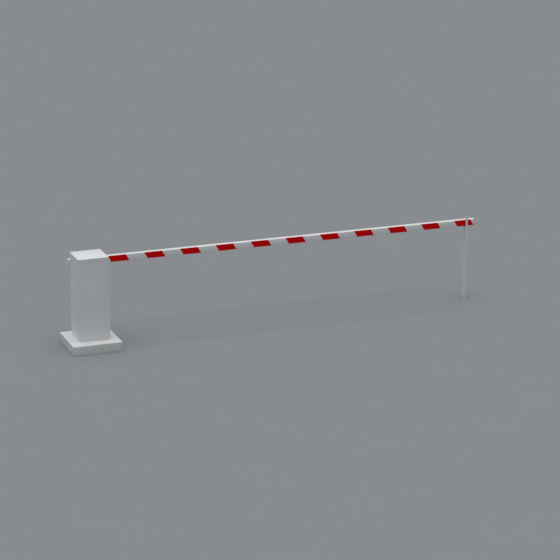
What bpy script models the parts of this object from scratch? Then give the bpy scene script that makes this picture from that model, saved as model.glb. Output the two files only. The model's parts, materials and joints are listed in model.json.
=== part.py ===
"""Automatic boom barrier: a sheet-steel cabinet on a plinth, a striped boom on its back and a rest post.

Metres, +Z up. The origin is the centre of the plinth's underside, +X runs along the boom to its tip,
-Y is the door side of the cabinet and +Y the side that carries the boom.
"""

import math

import bmesh
import bpy
from mathutils import Matrix, Vector

# Driving dimensions -------------------------------------------------------------------------
GAP = 0.0003  # left between touching pieces
PLINTH = Vector((0.530, 0.546, 0.102))
CABINET_WIDTH, CABINET_DEPTH = 0.332, 0.326
CABINET_X, CABINET_Y = 0.006, 0.015  # centre of the cabinet on the plinth
CABINET_TOP = 1.000
WALL = 0.002  # housing sheet
SKIN = 0.0015  # door and lid sheet
LID_DEPTH = 0.016
DOOR_DEPTH = 0.0175
DOOR_FOOT, DOOR_HEAD = 0.125, 0.962  # edges of the door's recess
SHUT_GAP = 0.0015

SHAFT_Z = 0.875
CRANK_Z = 0.605
CRANK_THROW = 0.070
REST_ANGLE = math.radians(135)  # of the lever and the crank, from +X towards +Z
STOP_ANGLE = math.radians(-45)
STOP_ARM = 0.012  # half the width of the lever's short arm
FLAG_ANGLE = math.radians(-30)
QUARTER_TURN = math.radians(90)

BOOM_HEIGHT, BOOM_DEPTH = 0.069, 0.058
BOOM_TAIL, BOOM_TIP = -0.171, 4.507
BOOM_WALL, BOOM_CORNER = 0.0018, 0.003
BOOM_FACE_Y = 0.190
CLAMP_HALF_WIDTH, CLAMP_HALF_HEIGHT = 0.075, 0.0625
CLAMP_BOLT_OFFSET = 0.050

POST_X = 4.410
POST_WIDTH, POST_DEPTH, POST_WALL = 0.025, 0.080, 0.003
POST_TOP = 0.812
FORK_FRONT_TOP, FORK_BACK_TOP = 0.945, 0.905

# Places that follow from them ---------------------------------------------------------------
LEFT, RIGHT = CABINET_X - CABINET_WIDTH / 2, CABINET_X + CABINET_WIDTH / 2
FRONT, BACK = CABINET_Y - CABINET_DEPTH / 2, CABINET_Y + CABINET_DEPTH / 2
FOOT = PLINTH.z + GAP
RIM = CABINET_TOP - LID_DEPTH - 0.0005  # top of the housing, under the lid
JAMB_Y = FRONT + DOOR_DEPTH + 0.002  # front of the door opening
BOOM_Y = BOOM_FACE_Y + BOOM_DEPTH / 2
PLATE_Y = 0.140  # front face of the chassis plate
LEVER_Y = (-0.0965, -0.0845)  # the lever and the crank lie in this layer
ROD_Y = (-0.1145, -0.1005)
PIVOT = Vector((LEFT + 0.0048, FRONT + 0.0048))  # door pivot pins
LOCK = Vector((RIGHT, -0.090, 0.620))
MOTOR = Vector((0.056, -0.013))
SHELF_Z = (0.515, 0.523)
FRAME_TOP = FOOT + WALL + GAP + 0.008
ANCHORS = [(CABINET_X + x, CABINET_Y + y) for x in (-0.128, 0.128) for y in (-0.100, 0.100)]
LID_SCREWS = [(LEFT + 0.0145, CABINET_Y), (RIGHT - 0.0145, CABINET_Y)]
CLAMP_CORNERS = [
    (CABINET_X + x, SHAFT_Z + z)
    for x in (-CLAMP_BOLT_OFFSET, CLAMP_BOLT_OFFSET)
    for z in (-CLAMP_BOLT_OFFSET, CLAMP_BOLT_OFFSET)
]
SENSOR_RADIUS = 0.064
SPRING_RADIUS, SPRING_WIRE, SPRING_TURNS = 0.045, 0.012, 10
SPRING_LEG_ANGLE = math.radians(90)


# Scene and materials ------------------------------------------------------------------------
def clear_scene():
    for obj in list(bpy.data.objects):
        bpy.data.objects.remove(obj, do_unlink=True)


def new_collection(name, hidden=False):
    collection = bpy.data.collections.new(name)
    collection.hide_render = hidden
    bpy.context.scene.collection.children.link(collection)
    return collection


def finish(name, color, roughness, metallic=0.0):
    material = bpy.data.materials.new(name)
    material.use_nodes = True
    shader = material.node_tree.nodes["Principled BSDF"]
    shader.inputs["Base Color"].default_value = (*color, 1.0)
    shader.inputs["Roughness"].default_value = roughness
    shader.inputs["Metallic"].default_value = metallic
    return material


clear_scene()
PARTS = new_collection("boom_barrier")
TOOLS = new_collection("tools", hidden=True)

WHITE_PAINT = finish("white_paint", (0.80, 0.81, 0.82), 0.45)
CONCRETE = finish("painted_concrete", (0.74, 0.75, 0.75), 0.85)
ZINC = finish("zinc_plated_steel", (0.62, 0.63, 0.62), 0.38, 1.0)
DARK_STEEL = finish("dark_spring_steel", (0.08, 0.08, 0.09), 0.40, 1.0)
BRIGHT_STEEL = finish("bright_steel", (0.66, 0.66, 0.66), 0.28, 1.0)
GREY_PAINT = finish("grey_casting_paint", (0.20, 0.22, 0.24), 0.50)
BLUE_PAINT = finish("motor_paint", (0.05, 0.12, 0.25), 0.45)
ALUMINIUM = finish("painted_aluminium", (0.80, 0.80, 0.80), 0.35)
RUBBER = finish("black_rubber", (0.03, 0.03, 0.03), 0.80)
GREY_PLASTIC = finish("light_grey_plastic", (0.60, 0.61, 0.60), 0.50)
DARK_PLASTIC = finish("black_plastic", (0.04, 0.04, 0.045), 0.45)
BOARD = finish("circuit_board", (0.02, 0.16, 0.07), 0.45)
BRASS = finish("nickel_brass", (0.72, 0.69, 0.60), 0.30, 1.0)


# Shapes -------------------------------------------------------------------------------------
def add_object(name, bm, place, material):
    mesh = bpy.data.meshes.new(name)
    bm.to_mesh(mesh)
    bm.free()
    obj = bpy.data.objects.new(name, mesh)
    obj.location = place
    PARTS.objects.link(obj)
    if material:
        mesh.materials.append(material)
    return obj


def shade_round(obj, sharp=35):
    obj.data.shade_smooth()
    obj.data.set_sharp_from_angle(angle=math.radians(sharp))
    return obj


def box(name, low, high, material=None, rounding=0.0, rounded="all", segments=2):
    """A box between two corners. rounded says which edges take the rounding: all, upright or top."""
    low, high = Vector(low), Vector(high)
    bm = bmesh.new()
    bmesh.ops.create_cube(bm, size=1.0)
    bmesh.ops.scale(bm, vec=high - low, verts=bm.verts)

    def takes_rounding(edge):
        a, b = (vert.co.z for vert in edge.verts)
        upright, top = a != b, a > 0 and b > 0
        return {"all": True, "upright": upright, "top": upright or top}[rounded]

    if rounding:
        edges = [edge for edge in bm.edges if takes_rounding(edge)]
        bmesh.ops.bevel(
            bm, geom=edges, offset=rounding, segments=segments, profile=0.5, affect="EDGES"
        )
    return add_object(name, bm, (low + high) / 2, material)


def cylinder(name, start, end, radius, material=None, sides=24):
    """A round bar between two points; six sides make a hexagon."""
    start, end = Vector(start), Vector(end)
    bm = bmesh.new()
    bmesh.ops.create_cone(
        bm,
        cap_ends=True,
        segments=sides,
        radius1=radius,
        radius2=radius,
        depth=(end - start).length,
        matrix=(end - start).to_track_quat("Z", "Y").to_matrix().to_4x4(),
    )
    return shade_round(add_object(name, bm, (start + end) / 2, material))


def across_flats(width):
    return width / math.sqrt(3)


def turned(name, profile, origin, axis, material, steps=24, ring=False):
    """A profile of (radius, height) points, its outer side from top to bottom, turned about axis."""
    mesh = bpy.data.meshes.new(name)
    count = len(profile)
    edges = [(i, (i + 1) % count) for i in range(count if ring else count - 1)]
    mesh.from_pydata([(radius, 0.0, height) for radius, height in profile], edges, [])
    mesh.materials.append(material)
    obj = bpy.data.objects.new(name, mesh)
    obj.location = origin
    obj.rotation_mode = "QUATERNION"
    obj.rotation_quaternion = Vector(axis).to_track_quat("Z", "Y")
    PARTS.objects.link(obj)
    screw = obj.modifiers.new("turn", "SCREW")
    screw.steps = screw.render_steps = steps
    screw.use_merge_vertices = True
    screw.merge_threshold = 0.00001
    return obj


def circle(u, v, radius, points=24):
    return [
        (u + radius * math.cos(2 * math.pi * i / points), v + radius * math.sin(2 * math.pi * i / points))
        for i in range(points)
    ]


def rounded_rectangle(low, high, radius, points=4):
    """Corner arcs of a rectangle, anticlockwise from the lower left."""
    corners = [
        (low[0] + radius, low[1] + radius, 180),
        (high[0] - radius, low[1] + radius, 270),
        (high[0] - radius, high[1] - radius, 0),
        (low[0] + radius, high[1] - radius, 90),
    ]
    outline = []
    for u, v, start in corners:
        for i in range(points):
            angle = math.radians(start + 90 * i / (points - 1))
            outline.append((u + radius * math.cos(angle), v + radius * math.sin(angle)))
    return outline


def rotated(outline, angle):
    cos, sin = math.cos(angle), math.sin(angle)
    return [(u * cos - v * sin, u * sin + v * cos) for u, v in outline]


def arm_outline(hub_radius, reach, end_radius, angle, points=9):
    """The round-ended outline of an arm that narrows from a hub at (0, 0)."""
    lean = math.asin((hub_radius - end_radius) / reach)
    outline = []
    for radius, distance, first, last in (
        (end_radius, reach, lean - math.pi / 2, math.pi / 2 - lean),
        (hub_radius, 0.0, math.pi / 2 - lean, 3 * math.pi / 2 + lean),
    ):
        count = points if distance else 2 * points
        for i in range(count):
            turn = first + (last - first) * i / (count - 1)
            outline.append((distance + radius * math.cos(turn), radius * math.sin(turn)))
    return rotated(outline, angle)


PLANES = {
    "XY": Matrix.Identity(4),
    "XZ": Matrix(((1, 0, 0, 0), (0, 0, -1, 0), (0, 1, 0, 0), (0, 0, 0, 1))),
    "YZ": Matrix(((0, 0, 1, 0), (1, 0, 0, 0), (0, 1, 0, 0), (0, 0, 0, 1))),
}


def plate(name, outlines, plane, start, end, material=None, origin=(0.0, 0.0)):
    """A flat outline with its holes, extruded between two heights along the plane's third axis."""
    curve = bpy.data.curves.new(name, "CURVE")
    curve.dimensions = "2D"
    curve.fill_mode = "BOTH"
    curve.extrude = abs(end - start) / 2
    for outline in outlines:
        spline = curve.splines.new("POLY")
        spline.points.add(len(outline) - 1)
        for point, (u, v) in zip(spline.points, outline):
            point.co = (u, v, 0.0, 1.0)
        spline.use_cyclic_u = True
    middle = (start + end) / 2
    place = {
        "XY": (origin[0], origin[1], middle),
        "XZ": (origin[0], middle, origin[1]),
        "YZ": (middle, origin[0], origin[1]),
    }[plane]
    drawn = bpy.data.objects.new(name, curve)
    drawn.matrix_world = Matrix.Translation(place) @ PLANES[plane]
    PARTS.objects.link(drawn)
    return shade_round(as_mesh(drawn, material))


def as_mesh(drawn, material):
    """The mesh of a curve object, its caps welded, in the curve's place."""
    bpy.context.view_layer.update()
    graph = bpy.context.evaluated_depsgraph_get()
    mesh = bpy.data.meshes.new_from_object(drawn.evaluated_get(graph))
    bm = bmesh.new()
    bm.from_mesh(mesh)
    bmesh.ops.remove_doubles(bm, verts=bm.verts, dist=0.000001)
    bm.to_mesh(mesh)
    bm.free()
    name, matrix = drawn.name, drawn.matrix_world.copy()
    bpy.data.objects.remove(drawn, do_unlink=True)
    obj = bpy.data.objects.new(name, mesh)
    obj.matrix_world = matrix
    PARTS.objects.link(obj)
    mesh.materials.clear()
    if material:
        mesh.materials.append(material)
    return obj


def combine(obj, operation, tools):
    for tool in tools:
        PARTS.objects.unlink(tool)
        TOOLS.objects.link(tool)
        tool.name = f"{obj.name}_tool"
        tool.hide_render = True
        tool.display_type = "WIRE"
        boolean = obj.modifiers.new(operation.lower(), "BOOLEAN")
        boolean.operation = operation
        boolean.object = tool
    return obj


def cut(obj, *tools):
    return combine(obj, "DIFFERENCE", tools)


def join(obj, *tools):
    return combine(obj, "UNION", tools)


def hex_bolt(name, seat, direction, length, diameter, material, washer=0.0):
    """A bolt whose head sits at seat and whose shank runs length along direction."""
    seat, direction = Vector(seat), Vector(direction).normalized()
    head = 0.65 * diameter
    bolt = cylinder(name, seat - head * direction, seat, across_flats(1.6 * diameter), material, sides=6)
    join(bolt, cylinder("shank", seat - 0.5 * head * direction, seat + length * direction, diameter / 2))
    if washer:
        join(bolt, cylinder("washer", seat - 0.0025 * direction, seat, washer))
    return bolt


def pivot(name, place, *pieces):
    """An empty on a joint's axis, with the pieces that turn about it."""
    empty = bpy.data.objects.new(name, None)
    empty.empty_display_size = 0.05
    empty.location = place
    PARTS.objects.link(empty)
    for piece in pieces:
        piece.parent = empty
        piece.location -= empty.location
    return empty


def around(place_x, place_z, radius, angle):
    return place_x + radius * math.cos(angle), place_z + radius * math.sin(angle)


# Plinth and cabinet -------------------------------------------------------------------------
def make_plinth():
    half = PLINTH.xy / 2
    plinth = box("base_plinth", (*-half, 0.0), (*half, PLINTH.z), CONCRETE, 0.004, "top", 3)
    for x, y in ANCHORS:
        cut(plinth, cylinder("hole", (x, y, 0.030), (x, y, 0.2), 0.0085, sides=16))
    cut(plinth, cylinder("duct", (-0.055, 0.070, -0.01), (-0.055, 0.070, 0.2), 0.030))
    for index, (x, y) in enumerate(ANCHORS, 1):
        stud = cylinder(f"anchor_bolt_{index}", (x, y, 0.035), (x, y, 0.148), 0.008, ZINC, sides=16)
        top = FRAME_TOP + GAP
        join(
            stud,
            cylinder("washer", (x, y, top), (x, y, top + 0.003), 0.015),
            cylinder("nut", (x, y, top + 0.002), (x, y, top + 0.016), across_flats(0.024), sides=6),
        )


def make_housing():
    """Three walls, a rim, a foot flange, a sill, a head rail and the frame of the door opening."""
    housing = box(
        "cabinet_shell", (LEFT, FRONT, FOOT), (RIGHT, BACK, RIM), WHITE_PAINT, 0.0015, "upright", 2
    )
    left, right, back = LEFT + WALL, RIGHT - WALL, BACK - WALL
    frame_back = JAMB_Y + WALL
    floor, ceiling = FOOT + WALL, RIM - WALL
    cut(
        housing,
        box("inside", (left, frame_back, floor), (right, back, ceiling)),
        box("door_recess", (LEFT - 0.1, FRONT - 0.1, DOOR_FOOT), (RIGHT + 0.1, JAMB_Y, DOOR_HEAD)),
        box("sill", (left, FRONT + WALL, floor), (right, frame_back + 0.01, DOOR_FOOT - WALL)),
        box("head", (left, FRONT + WALL, DOOR_HEAD + WALL), (right, frame_back + 0.01, ceiling)),
        box(
            "door_opening",
            (LEFT + 0.022, FRONT, DOOR_FOOT + 0.022),
            (RIGHT - 0.022, frame_back + 0.01, DOOR_HEAD - 0.022),
        ),
        box("top_opening", (LEFT + 0.027, FRONT + 0.027, RIM - 0.01), (RIGHT - 0.027, BACK - 0.027, 1.1)),
        box("foot_opening", (LEFT + 0.050, FRONT + 0.050, 0.09), (RIGHT - 0.050, BACK - 0.050, 0.12)),
        cylinder("shaft_hole", (CABINET_X, BACK - 0.02, SHAFT_Z), (CABINET_X, BACK + 0.02, SHAFT_Z), 0.029),
        cylinder("lock_hole", LOCK - Vector((0.02, 0, 0)), LOCK + Vector((0.02, 0, 0)), 0.0094),
    )
    for x, y in ANCHORS:
        cut(housing, cylinder("anchor_hole", (x, y, 0.09), (x, y, 0.12), 0.0085, sides=16))
    for x, y in LID_SCREWS:
        cut(housing, cylinder("screw_hole", (x, y, RIM - 0.01), (x, y, 1.1), 0.0034, sides=16))
    for z in (DOOR_FOOT, DOOR_HEAD):
        cut(housing, cylinder("pin_hole", (*PIVOT, z - 0.006), (*PIVOT, z + 0.006), 0.0028, sides=16))


def make_base_frame():
    """The flat frame that clamps the housing's foot to the plinth and carries the chassis."""
    low, high = Vector((LEFT + 0.004, FRONT + 0.027)), Vector((RIGHT - 0.004, BACK - 0.0035))
    width = Vector((0.046, 0.046))
    outlines = [
        rounded_rectangle(low, high, 0.004, 3),
        rounded_rectangle(low + width, high - width, 0.004, 3),
        *[circle(x, y, 0.0085, 16) for x, y in ANCHORS],
    ]
    plate("base_frame", outlines, "XY", FRAME_TOP - 0.008, FRAME_TOP, ZINC)


def make_lid():
    low, high = (LEFT, FRONT, CABINET_TOP - LID_DEPTH), (RIGHT, BACK, CABINET_TOP)
    lid = box("lid", low, high, WHITE_PAINT, 0.0015, "top", 2)
    cut(
        lid,
        box(
            "hollow",
            (LEFT + SKIN, FRONT + SKIN, CABINET_TOP - LID_DEPTH - 0.01),
            (RIGHT - SKIN, BACK - SKIN, CABINET_TOP - SKIN),
        ),
    )
    for index, (x, y) in enumerate(LID_SCREWS, 1):
        boss = cylinder("boss", (x, y, RIM + 0.0005), (x, y, CABINET_TOP - SKIN / 2), 0.008)
        join(lid, boss)
        cut(lid, cylinder("thread", (x, y, RIM - 0.01), (x, y, CABINET_TOP - 0.004), 0.0033, sides=16))
        seat = (x, y, RIM - WALL - GAP)
        hex_bolt(f"lid_screw_{index}", seat, (0, 0, 1), 0.0125, 0.006, ZINC, washer=0.007)


def make_door():
    low, high = DOOR_FOOT + SHUT_GAP, DOOR_HEAD - SHUT_GAP
    corners = (LEFT, FRONT, low), (RIGHT, FRONT + DOOR_DEPTH, high)
    panel = box("door_panel", *corners, WHITE_PAINT, 0.0015, "upright", 2)
    cut(
        panel,
        box(
            "hollow",
            (LEFT + SKIN, FRONT + SKIN, low + SKIN),
            (RIGHT - SKIN, FRONT + DOOR_DEPTH + 0.01, high - SKIN),
        ),
        cylinder("pin_holes", (*PIVOT, low - 0.01), (*PIVOT, high + 0.01), 0.0028, sides=16),
    )
    return panel, make_gasket(), make_keeper()


def make_gasket():
    """The foam seal round the back of the door, just outside the opening."""
    low = Vector((LEFT + 0.011, DOOR_FOOT + 0.013))
    high = Vector((RIGHT - 0.011, DOOR_HEAD - 0.013))
    width = Vector((0.010, 0.010))
    outlines = [
        rounded_rectangle(low, high, 0.006),
        rounded_rectangle(low + width, high - width, 0.003),
    ]
    return plate("door_gasket", outlines, "XZ", FRONT + SKIN + GAP, JAMB_Y - 0.0005, RUBBER)


def make_keeper():
    """The catch behind the door that the lock's cam turns in front of."""
    low, high = LOCK.z - 0.032, LOCK.z - 0.012
    face, arm_x = FRONT + SKIN + GAP, RIGHT - 0.044
    catch_y = LOCK.y + 0.0085
    keeper = box("door_keeper", (arm_x, face, low), (arm_x + 0.0025, catch_y + 0.0025, high), ZINC)
    return join(
        keeper,
        box("foot", (arm_x - 0.022, face, low), (arm_x + 0.002, face + 0.0025, high)),
        box("catch", (arm_x + 0.001, catch_y, low), (arm_x + 0.0195, catch_y + 0.0025, high)),
    )


def make_door_pins():
    for name, z, inward in (("door_pin_bottom", DOOR_FOOT, 1), ("door_pin_top", DOOR_HEAD, -1)):
        start, end = z - inward * 0.014, z + inward * 0.014
        cylinder(name, (*PIVOT, start), (*PIVOT, end), 0.0025, BRIGHT_STEEL, sides=16)


def make_lock():
    """A cam lock in the right wall: the barrel stays, the plug and its cam turn."""
    rosette, body, bore = 0.011, 0.009, 0.0064
    face, back, end = 0.0028, GAP, -0.0250
    profile = [(rosette, face), (rosette, back), (body, back), (body, end), (bore, end), (bore, face)]
    turned("lock_barrel", profile, LOCK, (1, 0, 0), BRASS, ring=True)
    x = LOCK.x
    plug = cylinder("lock_plug", (x - 0.0335, *LOCK.yz), (x + 0.0025, *LOCK.yz), 0.006, BRASS)
    slot = Vector((0.011, 0.0009, 0.0038))
    cut(plug, box("key_slot", LOCK - slot, LOCK + slot))
    outlines = [arm_outline(0.0105, 0.027, 0.0055, math.pi), circle(0, 0, 0.0063)]
    cam = plate("lock_cam", outlines, "YZ", x - 0.0325, x - 0.0295, ZINC, LOCK.yz)
    return plug, cam


# Chassis and drive --------------------------------------------------------------------------
def make_chassis():
    """A folded pan on the base frame: its flanges point back, its face carries everything."""
    low, high = Vector((-0.135, PLATE_Y, FRAME_TOP + GAP)), Vector((0.147, 0.172, 0.962))
    sheet = Vector((0.005, 0.005, 0.005))
    hollow_high = high - sheet
    hollow_high.y = high.y + 0.03
    chassis = box("chassis_plate", low, high, ZINC)
    cut(
        chassis,
        box("hollow", low + sheet, hollow_high),
        cylinder("shaft_hole", (CABINET_X, 0.1, SHAFT_Z), (CABINET_X, 0.16, SHAFT_Z), 0.024),
        spring_leg_hole(PLATE_Y - 0.02, PLATE_Y + 0.02),
    )


def spring_leg_hole(start, end):
    x, z = around(CABINET_X, SHAFT_Z, SPRING_RADIUS, SPRING_LEG_ANGLE)
    return cylinder("leg_hole", (x, start, z), (x, end, z), SPRING_WIRE / 2 + 0.0006)


def make_bearing_bracket():
    """A shelf with an upright plate in front, which holds the front bearing and the sensors."""
    x, back = CABINET_X, PLATE_Y - GAP
    top, bottom = SHAFT_Z + 0.075, SHAFT_Z - 0.075
    bracket = box("bearing_bracket", (x - 0.055, -0.060, bottom), (x + 0.075, -0.052, top), GREY_PAINT)
    triangle = [(back - 0.004, 0.764), (back - 0.004, 0.804), (-0.045, 0.804)]
    gusset = plate("gusset", [triangle], "YZ", x - 0.004, x + 0.004)
    join(
        bracket,
        box("shelf", (x - 0.055, -0.056, bottom), (x + 0.060, back - 0.001, bottom + 0.008)),
        box("flange", (x - 0.055, back - 0.008, 0.760), (x + 0.060, back, bottom + 0.006)),
        gusset,
    )
    cut(bracket, cylinder("shaft_hole", (x, -0.08, SHAFT_Z), (x, -0.03, SHAFT_Z), 0.0205))
    for angle in (FLAG_ANGLE, FLAG_ANGLE + QUARTER_TURN):
        sx, sz = around(x, SHAFT_Z, SENSOR_RADIUS, angle)
        cut(bracket, cylinder("sensor_hole", (sx, -0.08, sz), (sx, -0.03, sz), 0.0063))


def make_bearing(name, face_y, outward, bore):
    """A two-bolt flanged bearing whose flange sits at face_y and whose nose points outward (+1 or -1)."""
    flange = [arm_outline(0.030, 0.038, 0.012, 0.0), circle(0, 0, 0.021)]
    ears = [arm_outline(0.030, 0.038, 0.012, math.pi), circle(0, 0, 0.021)]
    near, far = face_y + outward * GAP, face_y + outward * 0.010
    housing = plate(name, flange, "XZ", near, far, GREY_PAINT, (CABINET_X, SHAFT_Z))
    nose_end = face_y + outward * 0.0215
    back, front = sorted((near, nose_end))
    profile = [(0.026, -back), (0.026, -front), (bore, -front), (bore, -back)]
    nose = turned("nose", profile, (CABINET_X, 0.0, SHAFT_Z), (0, -1, 0), GREY_PAINT, ring=True)
    return join(housing, plate("ear", ears, "XZ", near, far, None, (CABINET_X, SHAFT_Z)), nose)


def make_shaft():
    front, step, end = 0.1000, 0.0500, -0.1897
    profile = [
        (0.0, front), (0.014, front), (0.015, front - 0.001), (0.015, step),
        (0.0175, step), (0.0175, end + 0.001), (0.0165, end), (0.0, end),
    ]
    return turned("main_shaft", profile, (CABINET_X, 0.0, SHAFT_Z), (0, -1, 0), BRIGHT_STEEL)


def make_spring_collar():
    """The disc that the spring turns, with the flag that the sensors see."""
    disc, flag, half_flag = 0.054, 0.072, math.radians(11)
    half_tip = half_flag * disc / flag
    outline = [around(0, 0, flag, FLAG_ANGLE + side * half_tip) for side in (-1, 1)]
    steps = 28
    for i in range(steps + 1):
        angle = FLAG_ANGLE + half_flag + (2 * math.pi - 2 * half_flag) * i / steps
        outline.append(around(0, 0, disc, angle))
    outlines = [outline, circle(0, 0, 0.0178)]
    collar = plate("spring_collar", outlines, "XZ", -0.047, -0.035, ZINC, (CABINET_X, SHAFT_Z))
    return cut(collar, spring_leg_hole(-0.06, -0.02))


def make_spring():
    """A torsion spring round the shaft: a helix whose two ends bend into legs along the shaft."""
    bend, back, front = 0.014, 0.112, -0.014
    sweep = math.asin(bend / SPRING_RADIUS)
    per_turn = 12
    turning = 2 * math.pi * SPRING_TURNS
    count = SPRING_TURNS * per_turn

    def on_helix(turn, y):
        x, z = around(CABINET_X, SHAFT_Z, SPRING_RADIUS, SPRING_LEG_ANGLE + turn)
        return Vector((x, y, z))

    points = [on_helix(0.0, PLATE_Y + 0.004), on_helix(0.0, back + bend)]
    points.append(on_helix(0.35 * sweep, back + 0.3 * bend))
    for i in range(count + 1):
        share = i / count
        points.append(on_helix(sweep + (turning - 2 * sweep) * share, back + (front - back) * share))
    points.append(on_helix(turning - 0.35 * sweep, front - 0.3 * bend))
    points += [on_helix(turning, front - bend), on_helix(turning, -0.0465)]

    curve = bpy.data.curves.new("torsion_spring", "CURVE")
    curve.dimensions = "3D"
    curve.bevel_depth = SPRING_WIRE / 2
    curve.bevel_resolution = 2
    curve.use_fill_caps = True
    spline = curve.splines.new("POLY")
    spline.points.add(len(points) - 1)
    for point, place in zip(spline.points, points):
        point.co = (*place, 1.0)
    drawn = bpy.data.objects.new("torsion_spring", curve)
    PARTS.objects.link(drawn)
    return shade_round(as_mesh(drawn, DARK_STEEL), 60)


def make_lever():
    """The shaft's lever: a long arm for the link rod and a short one that meets the stops."""
    place = (CABINET_X, SHAFT_Z)
    bore = circle(0, 0, 0.0153)
    pin_hole = circle(*around(0, 0, CRANK_THROW, REST_ANGLE), 0.0063)
    arm = arm_outline(0.030, CRANK_THROW, 0.016, REST_ANGLE)
    lever = plate("shaft_lever", [arm, bore, pin_hole], "XZ", *LEVER_Y, GREY_PAINT, place)
    straight = rounded_rectangle((0.022, -STOP_ARM), (0.054, STOP_ARM), 0.004)
    return join(lever, plate("stop_arm", [rotated(straight, STOP_ANGLE)], "XZ", *LEVER_Y, None, place))


def make_crank():
    place = (CABINET_X, CRANK_Z)
    pin_hole = circle(*around(0, 0, CRANK_THROW, REST_ANGLE), 0.0063)
    outlines = [arm_outline(0.027, CRANK_THROW, 0.016, REST_ANGLE), circle(0, 0, 0.0128), pin_hole]
    return plate("crank_arm", outlines, "XZ", *LEVER_Y, GREY_PAINT, place)


def make_pin(name, centre_z):
    """A headed pin through an arm and a rod end, with a nut behind the arm."""
    x, z = around(CABINET_X, centre_z, CRANK_THROW, REST_ANGLE)
    pin = hex_bolt(name, (x, ROD_Y[0] - GAP, z), (0, 1, 0), 0.038, 0.012, BRIGHT_STEEL)
    front = LEVER_Y[1] + GAP
    nut = cylinder("nut", (x, front, z), (x, front + 0.007, z), across_flats(0.018), sides=6)
    return join(pin, nut)


def make_link():
    """The link rod and its two rod ends."""
    x, top = around(CABINET_X, SHAFT_Z, CRANK_THROW, REST_ANGLE)
    bottom = top - (SHAFT_Z - CRANK_Z)
    y = sum(ROD_Y) / 2
    ends = []
    for name, z, inward in (("rod_end_top", top, -1), ("rod_end_bottom", bottom, 1)):
        eye = plate(name, [circle(0, 0, 0.018), circle(0, 0, 0.0063)], "XZ", *ROD_Y, ZINC, (x, z))
        neck_ends = (x, y, z + inward * 0.014), (x, y, z + inward * 0.046)
        nut_ends = (x, y, z + inward * 0.040), (x, y, z + inward * 0.050)
        join(
            eye,
            cylinder("neck", *neck_ends, 0.009),
            cylinder("nut", *nut_ends, across_flats(0.022), sides=6),
        )
        ends.append(eye)
    rod = cylinder("link_rod", (x, y, bottom + 0.0503), (x, y, top - 0.0503), 0.007, BRIGHT_STEEL)
    return rod, *ends


def make_stop(name, arm_angle, side):
    """A rubber buffer on a steel block, beside the place where the lever's short arm ends its travel."""
    centre = Vector((CABINET_X, SHAFT_Z))
    along = Vector((math.cos(arm_angle), math.sin(arm_angle)))
    away = Vector((math.cos(arm_angle + side * math.pi / 2), math.sin(arm_angle + side * math.pi / 2)))
    y = sum(LEVER_Y) / 2
    reach, rubber = 0.040, 0.011

    def at(distance):
        place = centre + reach * along + distance * away
        return place.x, y, place.y

    start = STOP_ARM + 0.0005
    cylinder(f"stop_buffer_{name}", at(start), at(start + rubber), 0.007, RUBBER)
    low, high = start + rubber + GAP, start + rubber + 0.0123
    section = ((-0.009, low), (0.009, low), (0.009, high), (-0.009, high))
    corners = [tuple(centre + (reach + u) * along + v * away) for u, v in section]
    plate(f"stop_block_{name}", [corners], "XZ", -0.098, -0.060 - GAP, ZINC)


def make_sensor(name, angle):
    x, z = around(CABINET_X, SHAFT_Z, SENSOR_RADIUS, angle)
    sensor = cylinder(f"sensor_{name}", (x, -0.0495, z), (x, -0.0820, z), 0.0060, BRASS)
    join(sensor, cylinder("nut", (x, -0.060 - GAP, z), (x, -0.0645, z), across_flats(0.017), sides=6))


def make_drive_shelf():
    """The shelf that carries the gearbox, with side gussets and the hole that the motor hangs through."""
    back = PLATE_Y - GAP
    shelf = box("drive_shelf", (-0.110, -0.080, SHELF_Z[0]), (0.130, back, SHELF_Z[1]), ZINC)
    triangle = [(back, 0.400), (back, SHELF_Z[1] - 0.002), (-0.050, SHELF_Z[1] - 0.002)]
    for x in (-0.110, 0.125):
        join(shelf, plate("gusset", [triangle], "YZ", x + 0.0004, x + 0.0046))
    cut(shelf, cylinder("motor_hole", (*MOTOR, 0.45), (*MOTOR, 0.6), 0.060, sides=32))


def make_gearbox():
    """A worm gearbox: the wheel's shaft points to the door, the worm stands above the motor."""
    foot = SHELF_Z[1] + GAP
    low, high = (-0.052, -0.066, foot + 0.004), (0.108, 0.040, 0.672)
    gearbox = box("gearbox", low, high, GREY_PAINT, 0.012, "all", 3)
    x = CABINET_X
    join(
        gearbox,
        box("foot", (-0.060, -0.077, foot), (0.122, 0.052, foot + 0.012)),
        cylinder("cover", (x, -0.072, CRANK_Z), (x, -0.060, CRANK_Z), 0.050, sides=32),
        cylinder("nose", (x, -0.081, CRANK_Z), (x, -0.065, CRANK_Z), 0.024),
        cylinder("worm_cap", (*MOTOR, 0.660), (*MOTOR, 0.680), 0.028),
    )
    cut(gearbox, cylinder("bore", (x, -0.1, CRANK_Z), (x, 0.020, CRANK_Z), 0.0128))


def make_output_shaft():
    x = CABINET_X
    return cylinder("output_shaft", (x, -0.0985, CRANK_Z), (x, 0.0190, CRANK_Z), 0.0125, BRIGHT_STEEL)


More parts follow.
